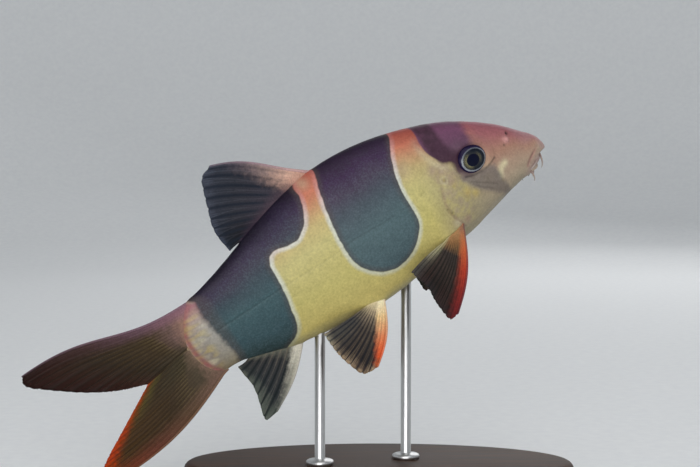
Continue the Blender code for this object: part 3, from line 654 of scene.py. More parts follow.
# Each band's edge is frayed by the blotches; the mask is full inside the band and 0 outside it
frayed, masks = {}, {}
for label, scatter, inside, outside, strength in (
    ("cheek_patch", 1.1, -1.2, 0.9, 0.80), ("head_band", 1.1, -1.0, 1.0, 1.0),
    ("trunk_band", 0.6, -0.25, 0.25, 1.0),
):
    scattered = add_node(tree, "Math", [blotch, scatter, -scatter / 2], operation="MULTIPLY_ADD")
    frayed[label] = add_node(tree, "Math", [stored[label], scattered], operation="ADD")
    masks[label] = add_node(
        tree, "MapRange", [frayed[label], inside, outside, strength, 0.0], interpolation_type="SMOOTHSTEP")
# Yellow and mauve freckles of 2 mm on the gill cover, strongest at its middle
freckles = add_node(tree, "TexNoise", {"Vector": spots_node, "Scale": 520.0, "Detail": 3.0})
freckle_colour = add_node(tree, "ValToRGB", [freckles], stops=[
    (0.30, "#8E7668"), (0.47, "#9E8F72"), (0.57, "#AA9C68"), (0.70, "#B5A55A"),
])
# The band through the eye has a darker maroon strip behind it
maroon_spots = add_node(tree, "MapRange", [blotch, 0.3, 0.65, 0.62, 1.0])
maroon_amount = add_node(tree, "Math", [stored["maroon"], maroon_spots], operation="MULTIPLY")
head_dark = add_node(
    tree, "Mix", {0: maroon_amount, 6: paints["head_band"], 7: "#3A2230"}, 2, data_type="RGBA")
# A pale bluish line runs round the trunk bands, faint along the back and at the tail
border_place = add_node(tree, "MapRange", [frayed["trunk_band"], -0.6, 2.0])
border = add_node(tree, "ValToRGB", [border_place], stops=[
    (0.12, "#000000"), (0.28, "#E8E8E8"), (0.50, "#C8C8C8"), (0.80, "#000000"),
])
border_height = add_node(tree, "MapRange", [stored["height_share"], 0.82, 0.97, 1.0, 0.25])
border_rear = add_node(tree, "MapRange", [stored["along"], 0.90, 0.94, 1.0, 0.28])
for fade in (border_height, border_rear):
    border = add_node(tree, "Math", [border, fade], operation="MULTIPLY")
border_colour = add_node(tree, "ValToRGB", [stored["height_share"]], stops=[
    (0.0, "#A9A887"), (0.25, "#C2C6B6"), (0.7, "#CFD5D2"), (0.88, "#C5A9AC"), (1.0, "#B08892"),
])
# The bands themselves: the rear one colder, a brownish rim inside, and paler flecks of 0.5 mm
rear_share = add_node(tree, "MapRange", [stored["along"], 0.62, 0.70])
rear_tone = add_node(tree, "ValToRGB", [rear_share], stops=[(0.0, "#FAFAFA"), (1.0, "#C2D9DC")])
band_colour = add_node(tree, "VectorMath", [paints["trunk_band"], rear_tone], operation="MULTIPLY")
rim = add_node(
    tree, "MapRange", [frayed["trunk_band"], -2.0, -0.2, 0.0, 0.5], interpolation_type="SMOOTHSTEP")
fleck_spots = add_node(tree, "TexNoise", {"Vector": spots_node, "Scale": 2100.0, "Detail": 2.0})
pale_flecks = add_node(tree, "MapRange", [fleck_spots, 0.42, 0.70, 0.0, 0.12])
pale_flecks = add_node(tree, "Math", [pale_flecks, border_height], operation="MULTIPLY")
for amount, paint in ((rim, "#4A3F3B"), (pale_flecks, "#7E9098")):
    band_colour = add_node(tree, "Mix", {0: amount, 6: band_colour, 7: paint}, 2, data_type="RGBA")
# All coats in the order in which they are sprayed; the last is painted shade in the grooves and pits
colour = paints["snout"]
for amount, paint in (
    (add_node(tree, "MapRange", [stored["along"], 0.17, 0.27]), paints["gill_cover"]),
    (add_node(tree, "MapRange", [stored["along"], 0.315, 0.39]), paints["trunk"]),
    (add_node(tree, "MapRange", [stored["along"], 0.88, 0.92]), paints["tail_root"]),
    (stored["lip"], "#A88A8A"), (stored["mauve"], "#9C8579"), (stored["gold"], "#B7A04F"),
    (stored["pale"], "#CDC4A2"), (stored["pink"], "#925453"), (stored["flap"], "#C8938F"),
    (stored["cover_middle"], freckle_colour), (masks["cheek_patch"], paints["cheek_patch"]),
    (masks["head_band"], head_dark), (border, border_colour), (masks["trunk_band"], band_colour),
    (stored["crease_shade"], "#1E1719"),
):
    colour = add_node(tree, "Mix", {0: amount, 6: colour, 7: paint}, 2, data_type="RGBA")
for texture, darkest, lightest in ((speckle, 0.86, 1.13), (blotch, 0.94, 1.06)):
    shade = add_node(tree, "MapRange", [texture, 0.3, 0.7, darkest, lightest])
    colour = add_node(tree, "VectorMath", {0: colour, "Scale": shade}, operation="SCALE")
# Buried scales 0.75 mm across show only as a faint dimpling
scales = add_node(tree, "TexVoronoi", {"Vector": spots_node, "Scale": 1350.0})
dimples = add_node(tree, "Bump", {"Strength": 0.35, "Distance": 0.00006, "Height": scales})
pores = add_node(tree, "Bump", {"Strength": 0.25, "Distance": 0.00008, "Height": blotch, "Normal": dimples})
shader = add_node(tree, "BsdfPrincipled", {
    "Base Color": colour, "Roughness": add_node(tree, "MapRange", [blotch, 0.0, 1.0, 0.34, 0.52]),
    "Normal": pores, "IOR": 1.45, "Specular IOR Level": 0.22,
})
add_node(tree, "OutputMaterial", {"Surface": shader})
fish = link_piece("fish_skin", skin_mesh, skin_finish)
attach(fish, "root")
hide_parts("head", "torso", "tail_stalk")

# Eyes
# Each is a glass eye as taxidermists fit: a clear dome painted behind with pupil and iris.
# It is set from outside into the orbit, with its rim tucked under the skin.
EYE_RINGS = 48
EYE_SIDES = 96
EYE_POLE_GAP = 0.02

eye_finish, tree = new_finish("painted_glass_eye")
uv = add_node(tree, "UVMap", uv_map="iris")
# The map runs 1 unit to 1 mm, forward and up from the middle of the iris. Pupil and rings are ovals
ovals = []
for middle, squeeze in (((-0.27, -0.37, 0.0), (0.86, 1.04, 1.0)), ((0.42, -0.38, 0.0), (0.83, 1.07, 1.0))):
    oval = add_node(tree, "VectorMath", [uv, middle], operation="SUBTRACT")
    ovals.append(add_node(tree, "VectorMath", [oval, squeeze], operation="MULTIPLY"))
pupil_distance, iris_distance = (
    add_node(tree, "VectorMath", [oval], 1, operation="LENGTH") for oval in ovals
)
flecks = add_node(tree, "TexNoise", {"Vector": uv, "Scale": 4.0, "Detail": 3.0})
rough_edge = add_node(tree, "Math", [flecks, 0.3, -0.15], operation="MULTIPLY_ADD")
ring_place = add_node(tree, "Math", [iris_distance, rough_edge], operation="ADD")
ring_place = add_node(tree, "Math", [ring_place, EYE_RADIUS], operation="DIVIDE")
iris = add_node(tree, "ValToRGB", [ring_place], stops=[
    (0.30, "#2E2C2C"), (0.45, "#1A202A"), (0.60, "#0E1522"), (0.74, "#121824"), (0.84, "#1D1338"),
    (0.98, "#160C2C"),
])
# A double silver ring, dimmed towards the top by painted shade from the skin over the eye, where the dark
# rim is broad
silver = add_node(tree, "ValToRGB", [ring_place], stops=[
    (0.715, "#000000"), (0.745, "#E0E0E0"), (0.765, "#8A8A8A"), (0.785, "#FFFFFF"), (0.815, "#000000"),
])
ring_ahead = add_node(tree, "SeparateXYZ", [ovals[1]])
ring_height = ring_ahead.node.outputs["Y"]
lid_shade_on_ring = add_node(tree, "MapRange", [ring_height, 0.8, 3.0, 0.85, 0.30])
silver = add_node(tree, "Math", [silver, lid_shade_on_ring], operation="MULTIPLY")
# Gold flecks lie before and behind the pupil, hardly any above and below it
pupil_share = add_node(tree, "Math", [pupil_distance, EYE_RADIUS], operation="DIVIDE")
gold = add_node(tree, "ValToRGB", [pupil_share], stops=[
    (0.405, "#000000"), (0.43, "#E0E0E0"), (0.52, "#A0A0A0"), (0.66, "#000000"),
])
sideways = add_node(tree, "Math", [ring_ahead], operation="ABSOLUTE")
for amount in (
    add_node(tree, "MapRange", [flecks, 0.35, 0.62, 0.1, 0.52]),
    add_node(tree, "MapRange", [sideways, 0.9, 2.0, 0.12, 1.7]),
):
    gold = add_node(tree, "Math", [gold, amount], operation="MULTIPLY")
pupil = add_node(tree, "MapRange", [pupil_distance, 1.74, 1.90, 1.0, 0.0])
for amount, paint in ((silver, "#B8BEC6"), (gold, "#A8A070"), (pupil, "#040820")):
    iris = add_node(tree, "Mix", {0: amount, 6: iris, 7: paint}, 2, data_type="RGBA")
shader = add_node(tree, "BsdfPrincipled", {
    "Base Color": iris, "Roughness": 0.3, "IOR": 1.5, "Specular IOR Level": 0.07,
    "Coat Weight": 0.16, "Coat Roughness": 0.03,
})
add_node(tree, "OutputMaterial", {"Surface": shader})

for side, side_name in ((-1, "right"), (1, "left")):
    centre, look, forward, upward = eye_frame(side)
    polar = np.linspace(EYE_POLE_GAP, math.pi - EYE_POLE_GAP, EYE_RINGS)[:, None]
    around = 2 * math.pi * np.arange(EYE_SIDES) / EYE_SIDES
    depth = np.where(polar < math.pi / 2, EYE_DOME_DEPTH, EYE_BACK_DEPTH)
    depth = depth * np.cos(polar) * np.ones(EYE_SIDES)
    ahead_mm = EYE_RADIUS * np.sin(polar) * np.cos(around)
    up_mm = EYE_RADIUS * np.sin(polar) * np.sin(around)
    ahead_mm = ahead_mm * np.where(ahead_mm > 0, EYE_LENGTH_AHEAD, EYE_LENGTH)
    ball = centre + PER_MM * (
        depth[..., None] * look + ahead_mm[..., None] * forward + up_mm[..., None] * upward
    )
    mesh = grid_mesh("eye_" + side_name, place(ball), {"ahead": ahead_mm, "up": up_mm})
    work = open_mesh(mesh, close_ends=True)
    ahead_layer, up_layer = work.verts.layers.float["ahead"], work.verts.layers.float["up"]
    map_layer = work.loops.layers.uv.new("iris")
    for face in work.faces:
        for loop in face.loops:
            loop[map_layer].uv = (loop.vert[ahead_layer], loop.vert[up_layer])
    write_mesh(work, mesh)
    eye = link_piece("glass_eye_" + side_name, mesh, eye_finish)
    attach(eye, "root")
    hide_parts("eye_" + side_name)

# Fins
# Jointed bony rays that branch towards the edge, with a thin web of skin between them.
# Cast in thin clear resin over rods and tinted, with each root let into the body.
WEB_ROWS = 40
WEB_COLUMNS_PER_RAY = 8
WEB_ROOT_V = -0.05
WEB_EDGE, ROOT_HALF = 0.13, 0.42
WEB_RIPPLE = 0.10
NOTCH_LEAST, NOTCH_RANGE = 0.7, 0.6
FRAY, RAY_SHORTFALL, TWIG_SHORTFALL = 0.005, 0.008, 0.014
RAY_SIDES = 7
RAY_STEPS = 40
RAY_ROOT_V = -0.04
RAY_PROUD, RAY_SLIMMEST = 0.10, 0.10
STIFF_RAYS = 2
TRUNK_END, TWIG_START = 0.34, 0.60
LIMB_OVERLAP = 0.03
BRANCH_SPREAD, TWIG_SPREAD = 0.23, 0.11
OUTER_SPREAD, OUTER_LEAN = 0.5, 0.12
LIMB_SLIMMING = (1.0, 0.85, 0.72)
RAY_FILL, BRANCH_FILL = 0.46, 0.55
LEAD_TAPER = 0.45
RAY_TIP_LENGTH, RAY_TIP_SLIMMING = 0.012, 0.7
RAY_JOINT_RATE = 9.0


def new_geometry_tree(name, sockets):
    """A Geometry Nodes tree with named inputs; gives the tree and its input node."""
    tree = bpy.data.node_groups.new(name, "GeometryNodeTree")
    tree.interface.new_socket("Geometry", in_out="INPUT", socket_type="NodeSocketGeometry")
    for label, kind in sockets:
        tree.interface.new_socket(label, in_out="INPUT", socket_type=kind)
    tree.interface.new_socket("Geometry", in_out="OUTPUT", socket_type="NodeSocketGeometry")
    return tree, tree.nodes.new("NodeGroupInput")


def run_tree(piece, tree, values):
    """Run a Geometry Nodes tree on a piece with its named values and keep the plain mesh."""
    modifier = piece.modifiers.new(tree.name, "NODES")
    modifier.node_group = tree
    for item in tree.interface.items_tree:
        if item.item_type == "SOCKET" and item.in_out == "INPUT" and item.name in values:
            modifier[item.identifier] = values[item.name]
    depsgraph = bpy.context.evaluated_depsgraph_get()
    depsgraph.update()
    mesh = bpy.data.meshes.new_from_object(piece.evaluated_get(depsgraph))
    piece.modifiers.remove(modifier)
    piece.data = mesh


# Strands: every loose edge becomes a round tapered rod; the faces stay as they are
strands, start = new_geometry_tree("strands", [
    ("Sides", "NodeSocketInt"), ("Thickness", "NodeSocketFloat"), ("Finish", "NodeSocketMaterial"),
])
on_strand = add_node(strands, "GeometryNodeInputNamedAttribute", {"Name": "ray"}, data_type="FLOAT")
is_strand = add_node(strands, "FunctionNodeCompare", {0: on_strand, 1: 0.5}, operation="GREATER_THAN")
strands_half = add_node(strands, "GeometryNodeSeparateGeometry", {
    "Geometry": start.outputs["Geometry"], "Selection": is_strand})
sheets_half = strands_half.node.outputs["Inverted"]
lines_node = add_node(strands, "GeometryNodeMeshToCurve", {"Mesh": strands_half})
thinness = add_node(strands, "GeometryNodeInputNamedAttribute", {"Name": "ray_radius"}, data_type="FLOAT")
radius_node = add_node(strands, "Math", [thinness, start.outputs["Thickness"]], operation="MULTIPLY")
circle = add_node(strands, "GeometryNodeCurvePrimitiveCircle", {
    "Resolution": start.outputs["Sides"], "Radius": 1.0})
rods = add_node(strands, "GeometryNodeCurveToMesh", {
    "Curve": lines_node, "Profile Curve": circle, "Scale": radius_node, "Fill Caps": True})
joined = add_node(strands, "GeometryNodeJoinGeometry", [rods])
strands.links.new(sheets_half, joined.node.inputs[0])
real = add_node(strands, "GeometryNodeRealizeInstances", [joined])
smooth = add_node(strands, "GeometryNodeSetShadeSmooth", [real])
finished = add_node(strands, "GeometryNodeSetMaterial", {
    "Geometry": smooth, "Material": start.outputs["Finish"]})
add_node(strands, "NodeGroupOutput", [finished])


def fin_spots(fin, u, v):
    """Spots of a fin's middle sheet: u from the leading ray to the last, v from root to edge."""
    def along(stations):
        shares = np.linspace(0, 1, len(stations))
        return np.stack([smooth_line(list(zip(shares, column)))(u) for column in zip(*stations)], axis=-1)

    root, tip, bow = along(fin["roots"]), along(fin["tips"]), along(fin["bows"])
    v = np.asarray(v)[..., None]
    spots = root + (tip - root) * v + bow[..., :3] * np.sin(math.pi * np.clip(v, 0, 1))
    spots[..., 2:] += bow[..., 3:] * np.sin(2 * math.pi * np.clip(v, 0, 1))
    return spots


def web_half_thickness(v, root_half):
    """Half the web's thickness in mm from root to edge."""
    return WEB_EDGE + (root_half - WEB_EDGE) * (1 - np.clip(v, 0, 1)) ** 2.2


def fin_piece(name, fin, finish, seed):
    """A web of skin with its branching rays, as one mesh."""
    chance = np.random.default_rng(seed)
    rays = fin["rays"]
    root_half = fin.get("root_half", ROOT_HALF)
    gaps = rays - 1
    columns = gaps * WEB_COLUMNS_PER_RAY
    u = np.linspace(0, 1, columns + 1)[:, None] * np.ones(WEB_ROWS + 1)
    v = np.linspace(WEB_ROOT_V, 1, WEB_ROWS + 1) * np.ones((columns + 1, 1))
    gap_number = np.minimum((u * gaps).astype(int), gaps)
    from_ray = np.abs((u * gaps + 0.5) % 1 - 0.5) * 2
    notch = fin["notch"] * (NOTCH_LEAST + NOTCH_RANGE * chance.random(gaps + 1))[gap_number]
    fray = FRAY * chance.random((columns + 1, 1))
    reach = 1 - notch * from_ray ** 2 - fray
    world = place(fin_spots(fin, u, v * np.where(v > 0, reach, 1)))
    across, along = np.gradient(world, axis=0), np.gradient(world, axis=1)
    normals = np.cross(across, along)
    normals /= np.linalg.norm(normals, axis=-1, keepdims=True)
    ripple = WEB_RIPPLE * np.sin(u * gaps * math.pi) ** 2 * np.clip(v, 0, 1)
    world = world + normals * (ripple * MM * chance.choice([-1, 1], gaps + 1)[gap_number])[..., None]
    side_fade = np.minimum(1, np.sin(math.pi * np.clip(u, 0.004, 0.996)) * 8) ** 0.5
    half = (web_half_thickness(v, root_half) * MM * side_fade)[..., None]
    points = np.stack([world + normals * half, world - normals * half]).reshape(-1, 3)
    count = (columns + 1) * (WEB_ROWS + 1)
    index = np.arange(count).reshape(columns + 1, WEB_ROWS + 1)
    quads = np.stack([index[:-1, :-1], index[1:, :-1], index[1:, 1:], index[:-1, 1:]], axis=-1)
    quads = quads.reshape(-1, 4)
    border = np.concatenate([index[:-1, 0], index[-1, :-1], index[:0:-1, -1], index[0, :0:-1]])
    after = np.roll(border, -1)
    rim = np.stack([after, border, border + count, after + count], axis=-1)
    faces = quads.tolist() + (quads[:, ::-1] + count).tolist() + rim.tolist()

    # Each ray is a trunk, two branches and four twigs, but the stiff leading rays stay whole
    labels = ("fin_u", "fin_v", "gap", "ray", "ray_radius", "ray_mm")
    sheet = np.stack([u, v, from_ray, 0 * u, 0 * u, 0 * u], axis=-1).reshape(-1, len(labels))
    spots_list, table, edges = [points], [sheet, sheet], []
    first = len(points)
    for ray in range(rays):
        home = ray / gaps
        whole = ray < STIFF_RAYS
        inner = 0 < ray < rays - 1
        length = 1.0 - RAY_SHORTFALL * chance.random()
        if whole:
            limbs = [(RAY_ROOT_V, length, 0, 0)]
        else:
            limbs = [(RAY_ROOT_V, TRUNK_END, 0, 0)]
            limbs += [(TRUNK_END - LIMB_OVERLAP, TWIG_START + LIMB_OVERLAP, a, 0) for a in (-1, 1)]
            limbs += [
                (TWIG_START, 1.0 - TWIG_SHORTFALL * chance.random(), a, b) for a in (-1, 1) for b in (-1, 1)
            ]
        for low, high, a, b in limbs:
            rows = max(4, int(round((high - low) * RAY_STEPS)))
            ray_v = np.linspace(low, high, rows + 1)
            lean = a * BRANCH_SPREAD * ramp(TRUNK_END - LIMB_OVERLAP, 1.0, ray_v)
            lean = lean + b * TWIG_SPREAD * ramp(TWIG_START, 1.02, ray_v)
            if not inner:
                lean = lean * OUTER_SPREAD + np.sign(0.5 - home) * OUTER_LEAN * ramp(0.4, 1, ray_v)
            ray_u = np.clip(home + lean / gaps, 0, 1)
            spots = place(fin_spots(fin, ray_u, ray_v))
            neighbour, other = (
                place(fin_spots(fin, np.clip(ray_u + shift / gaps, 0, 1), ray_v)) for shift in (0.5, -0.5)
            )
            pitch_mm = np.linalg.norm(neighbour - other, axis=-1) / MM
            slim = 1.0 if whole else LIMB_SLIMMING[abs(a) + abs(b)]
            thick = (web_half_thickness(ray_v, root_half) + RAY_PROUD) * slim
            radius = np.minimum(thick, RAY_FILL * pitch_mm * (1.0 if a == 0 else BRANCH_FILL))
            if ray == 0:
                radius = np.maximum(radius, fin["lead_radius"] * (1 - LEAD_TAPER * np.clip(ray_v, 0, 1)))
            at_tip = ray_v > high - RAY_TIP_LENGTH
            radius = np.maximum(radius, RAY_SLIMMEST) * np.where(at_tip, RAY_TIP_SLIMMING, 1.0)
            run = np.concatenate([[0], np.cumsum(np.linalg.norm(np.diff(spots, axis=0), axis=-1))]) / MM
            spots_list.append(spots)
            table.append(np.stack([ray_u, ray_v, 0 * ray_v, 0 * ray_v + 1, radius, run], axis=-1))
            edges += [(first + k, first + k + 1) for k in range(rows)]
            first += rows + 1
    mesh = bpy.data.meshes.new(name)
    mesh.from_pydata(np.concatenate(spots_list).tolist(), edges, faces)
    store_numbers(mesh, dict(zip(labels, np.concatenate(table).T)))
    piece = link_piece(name, mesh)
    run_tree(piece, strands, {"Sides": RAY_SIDES, "Thickness": MM, "Finish": finish})
    write_mesh(open_mesh(piece.data), piece.data)
    # Paired fins know which of their two faces is turned to the body, where painted shade may darken it
    side = np.sign(fin["roots"][0][1])
    outwards = np.array([vertex.normal.y for vertex in piece.data.vertices]) * side
    store_numbers(piece.data, {"body_side_shade": ramp(0.1, -0.3, outwards) * abs(side)})
    return piece


def fin_finish(
    name, lead, middle, trail, rays, lead_reach, trail_reach, slant, gap_colour, gap_amount, ray_amount,
    edge_colour, gap_start=0.0, body_side_shade_colour="#4A4A44", body_side_shade_amount=0.0,
):
    """Tinted resin web: colour runs along v in three zones, dark between rays, paler on them, with painted
    shade on a paired fin's face turned to the body.
    """
    finish, tree = new_finish(name)
    spots_node = add_node(tree, "TexCoord", output=3)
    u_node, v_node, gap_node, ray_node, run_node, body_side_shade_node = (
        add_node(tree, "Attribute", output=2, attribute_name=label)
        for label in ("fin_u", "fin_v", "gap", "ray", "ray_mm", "body_side_shade")
    )
    # Blotches 1.2 mm across and fine specks of 0.4 mm
    blotch = add_node(tree, "TexNoise", {"Vector": spots_node, "Scale": 800.0, "Detail": 3.0})
    specks = add_node(tree, "TexNoise", {"Vector": spots_node, "Scale": 2500.0, "Detail": 2.0})
    wander = add_node(tree, "Math", [blotch, 0.14, -0.07], operation="MULTIPLY_ADD")
    v_shifted = add_node(tree, "Math", [v_node, wander], operation="ADD")
    front, colour, rear, ray_colour = (
        add_node(tree, "ValToRGB", [v_shifted], stops=stops) for stops in (lead, middle, trail, rays)
    )
    lead_place = add_node(tree, "Math", [v_node, slant, u_node], operation="MULTIPLY_ADD")
    lead_place = add_node(tree, "Math", [lead_place, wander], operation="ADD")
    lead_mask, trail_mask, gap_power = (
        add_node(tree, "MapRange", values, interpolation_type="SMOOTHSTEP") for values in (
            [lead_place, *lead_reach, 1.0, 0.0],
            [u_node, *trail_reach],
            [gap_node, 0.45, 0.95, 0.0, gap_amount],
        )
    )
    gap_begins = add_node(tree, "MapRange", [v_node, gap_start, gap_start + 0.25])
    gap_power = add_node(tree, "Math", [gap_power, gap_begins], operation="MULTIPLY")
    lead_gap = add_node(tree, "Math", [gap_power, 0.35], operation="MULTIPLY")
    trail_rays = add_node(tree, "Math", [trail_mask, -0.6, 1.0], operation="MULTIPLY_ADD")
    ray_power = add_node(tree, "Math", [ray_node, ray_amount], operation="MULTIPLY")
    ray_power = add_node(tree, "Math", [ray_power, trail_rays], operation="MULTIPLY")
    # Painted shade darkens the face of a paired fin that is turned to the body
    body_side_shade_power = add_node(tree, "Math", [body_side_shade_node, body_side_shade_amount], operation="MULTIPLY")
    edge_mask = add_node(tree, "MapRange", [u_node, 0.0, 0.025, 0.5, 0.0])
    # The web's own colours, then the rays over them; the stiff leading edge keeps its colour. Painted shade
    # then darkens the face turned to the body
    front = add_node(tree, "Mix", {0: lead_gap, 6: front, 7: gap_colour}, 2, data_type="RGBA")
    for amount, paint in (
        (trail_mask, rear), (gap_power, gap_colour), (ray_power, ray_colour), (lead_mask, front),
        (body_side_shade_power, body_side_shade_colour), (edge_mask, edge_colour),
    ):
        colour = add_node(tree, "Mix", {0: amount, 6: colour, 7: paint}, 2, data_type="RGBA")
    shade = add_node(tree, "MapRange", [specks, 0.3, 0.7, 0.85, 1.15])
    colour = add_node(tree, "VectorMath", {0: colour, "Scale": shade}, operation="SCALE")
    # Ray joints, one every 0.7 mm, are fine rings on the rays alone
    joints = add_node(tree, "Math", [run_node, RAY_JOINT_RATE], operation="MULTIPLY")
    joints = add_node(tree, "Math", [joints], operation="SINE")
    joints = add_node(tree, "Math", [joints, ray_node], operation="MULTIPLY")
    height = add_node(tree, "Math", [joints, 0.4, blotch], operation="MULTIPLY_ADD")
    bump = add_node(tree, "Bump", {"Strength": 0.4, "Distance": 0.00005, "Height": height})
    shader = add_node(tree, "BsdfPrincipled", {
        "Base Color": colour, "Roughness": 0.5, "Normal": bump, "IOR": 1.45, "Specular IOR Level": 0.12,
    })
    add_node(tree, "OutputMaterial", {"Surface": shader})
    return finish


# Each fin's leading ray comes first; roots and tips are (s, y, h), bows add a swing of the tip
dorsal = {
    "roots": DORSAL_ROOT,
    "tips": [
        (79.6, 0, 34.7), (82.6, 0.1, 32.9), (83.7, 0.3, 29.4), (84.5, 0.4, 25.8), (85.3, 0.3, 22.2),
        (85.3, 0.2, 18.9), (84.3, 0, 14.7),
    ],
    "bows": [(-0.4, 0, 1.1, -0.5), (0, 0, 0.6, -0.2), (0, 0, 0.3, 0), (0, 0, 0.1, 0)],
    "rays": 10, "lead_radius": 0.34, "notch": 0.012,
}
anal = {
    "roots": ANAL_ROOT,
    "tips": [
        (91.0, 0, -25.2), (94.5, -0.1, -25.6), (94.2, -0.2, -22.3), (93.7, -0.2, -19.2),
        (93.6, -0.2, -16.3), (94.2, -0.1, -13.6), (94.7, 0, -11.0),
    ],
    "bows": [(-0.7, 0, -0.8, 0), (-0.3, 0, -0.4, 0), (0, 0, -0.1, 0), (0, 0, -0.2, 0)],
    "rays": 8, "lead_radius": 0.36, "notch": 0.012,
}
tail_upper = {
    "roots": [(98.6, 0, 8.4), (101.3, 0, 5.2), (102.2, 0, 2.0), (102.4, 0, -1.17)],
    "tips": [
        (139.2, 0.8, 10.6), (139.4, 0.8, 7.9), (134.2, 0.6, 4.1), (128.0, 0.4, 0.3), (121.6, 0.2, -2.6),
        (115.0, 0, -4.40),
    ],
    "bows": [(0, 1.2, 0.1, -1.1), (0, 0.9, 0.3, -0.4), (0, 0.4, 0.2, 0), (0, 0, 0, 0)],
    "rays": 16, "lead_radius": 0.42, "root_half": 0.55, "notch": 0.006,
}
tail_lower = {
    "roots": [(102.4, 0, -1.29), (102.1, 0, -4.6), (101.1, 0, -7.7), (98.3, 0, -10.6)][::-1],
    "tips": [
        (115.0, 0, -4.50), (121.2, -0.2, -8.9), (126.2, -0.4, -12.5), (131.0, -0.6, -16.0),
        (134.4, -0.7, -19.6), (133.4, -0.8, -21.8),
    ][::-1],
    "bows": [(0, 0, 0, 0), (0, -0.5, -0.3, 0), (0, -0.9, -1.0, 0), (-0.6, -1.2, -2.1, 0)][::-1],
    "rays": 16, "lead_radius": 0.42, "root_half": 0.55, "notch": 0.006,
}


def pelvic(side, closer):
    """A pelvic fin; the far one is held a little closer to the belly."""
    return {
        "roots": [(s, side * y, h) for s, y, h in PELVIC_ROOT],
        "tips": [
            (66.2 - 3.0 * closer, side * 7.1, -25.8),
            (70.2 - 3.5 * closer, side * 7.5, -25.3),
            (72.2 - 4.0 * closer, side * (7.8 - 0.5 * closer), -21.8),
            (73.5 - 4.5 * closer, side * (7.9 - 0.5 * closer), -18.4),
            (74.1 - 4.5 * closer, side * (7.6 - 0.5 * closer), -15.2),
            (74.4 - 4.5 * closer, side * (7.2 - 0.5 * closer), -12.2),
        ],
        "bows": [(-0.9, side * 0.7, -0.6, 0), (-0.3, side * 1.0, -0.4, 0), (0, side * 1.1, 0.1, 0)],
        "rays": 12, "lead_radius": 0.42, "notch": 0.011,
    }


def pectoral(side, closer):
    """A pectoral fin; the far one is held a little closer to the flank."""
    return {
        "roots": [(s, side * y, h) for s, y, h in PECTORAL_ROOT],
        "tips": [
            (44.6 - 6.0 * closer, side * 12.2, -23.0 + 2.0 * closer),
            (47.1 - 6.5 * closer, side * 12.4, -23.0 + 2.0 * closer),
            (48.1 - 7.0 * closer, side * 12.5, -19.6 + 1.5 * closer),
            (48.6 - 7.0 * closer, side * 12.5, -16.6 + 1.0 * closer),
            (48.6 - 6.5 * closer, side * 12.2, -13.8 + 0.5 * closer),
            (49.6 - 6.0 * closer, side * 11.8, -10.9),
            (50.4 - 5.5 * closer, side * 11.2, -8.6),
        ],
        "bows": [(-1.1, side * 0.5, -1.1, 0), (-0.6, side * 0.8, -0.6, 0), (0, side * 0.8, 0.7, 0)],
        "rays": 15, "lead_radius": 0.45, "root_half": 0.5, "notch": 0.010,
    }


dorsal_finish = fin_finish(
    "smoky_dorsal_fin_web",
    lead=[(0.0, "#B88C7A"), (0.15, "#C9A28F"), (0.4, "#957E78"), (0.7, "#645860"), (1.0, "#5E5C68")],
    middle=[(0.0, "#4A3B44"), (0.2, "#34323B"), (0.6, "#2C2D34"), (0.85, "#2D3039"), (1.0, "#3E424E")],
    trail=[(0.0, "#281C2C"), (0.35, "#121319"), (0.8, "#161921"), (1.0, "#343A48")],
    rays=[(0.0, "#423840"), (0.5, "#404048"), (0.85, "#40444E"), (1.0, "#505563")],
    lead_reach=(0.13, 0.40), trail_reach=(0.5, 0.95), slant=0.32,
    gap_colour="#161D29", gap_amount=0.8, gap_start=0.05, ray_amount=0.55, edge_colour="#B0949E",
)
anal_finish = fin_finish(
    "cream_and_smoke_anal_fin_web",
    lead=[(0.0, "#DAD4C2"), (0.4, "#B2AE9E"), (0.8, "#84847A"), (1.0, "#6C6E66")],
    middle=[(0.0, "#66665A"), (0.2, "#383838"), (0.7, "#2C3032"), (1.0, "#565D54")],
    trail=[(0.0, "#66665A"), (0.3, "#2E2E2E"), (0.8, "#303332"), (1.0, "#57584F")],
    rays=[(0.0, "#6E6456"), (0.5, "#504B48"), (1.0, "#5C5D56")],
    lead_reach=(0.10, 0.28), trail_reach=(0.5, 0.95), slant=0.16,
    gap_colour="#151A1E", gap_amount=0.8, ray_amount=0.5, edge_colour="#B8B0A8",
)
pelvic_finish = fin_finish(
    "orange_edged_pelvic_fin_web",
    lead=[
        (0.0, "#EFE3BC"), (0.2, "#E6C48E"), (0.38, "#DA9A6C"), (0.56, "#DA7448"), (0.8, "#E4582A"),
        (1.0, "#C87040"),
    ],
    middle=[
        (0.0, "#D6C69E"), (0.14, "#A8967A"), (0.28, "#766858"), (0.44, "#413A34"), (0.85, "#312B28"),
        (0.94, "#5C4C40"), (1.0, "#9C8468"),
    ],
    trail=[
        (0.0, "#C0B088"), (0.18, "#6A6050"), (0.42, "#3A3A3A"), (0.88, "#45433E"), (0.96, "#767060"),
        (1.0, "#9A947E"),
    ],
    rays=[(0.0, "#C0B088"), (0.26, "#827462"), (0.46, "#5E5246"), (0.82, "#5E5042"), (1.0, "#AA967A")],
    lead_reach=(0.34, 0.50), trail_reach=(0.5, 0.95), slant=0.40,
    gap_colour="#151821", gap_amount=0.8, ray_amount=0.55, edge_colour="#C9A088",
)
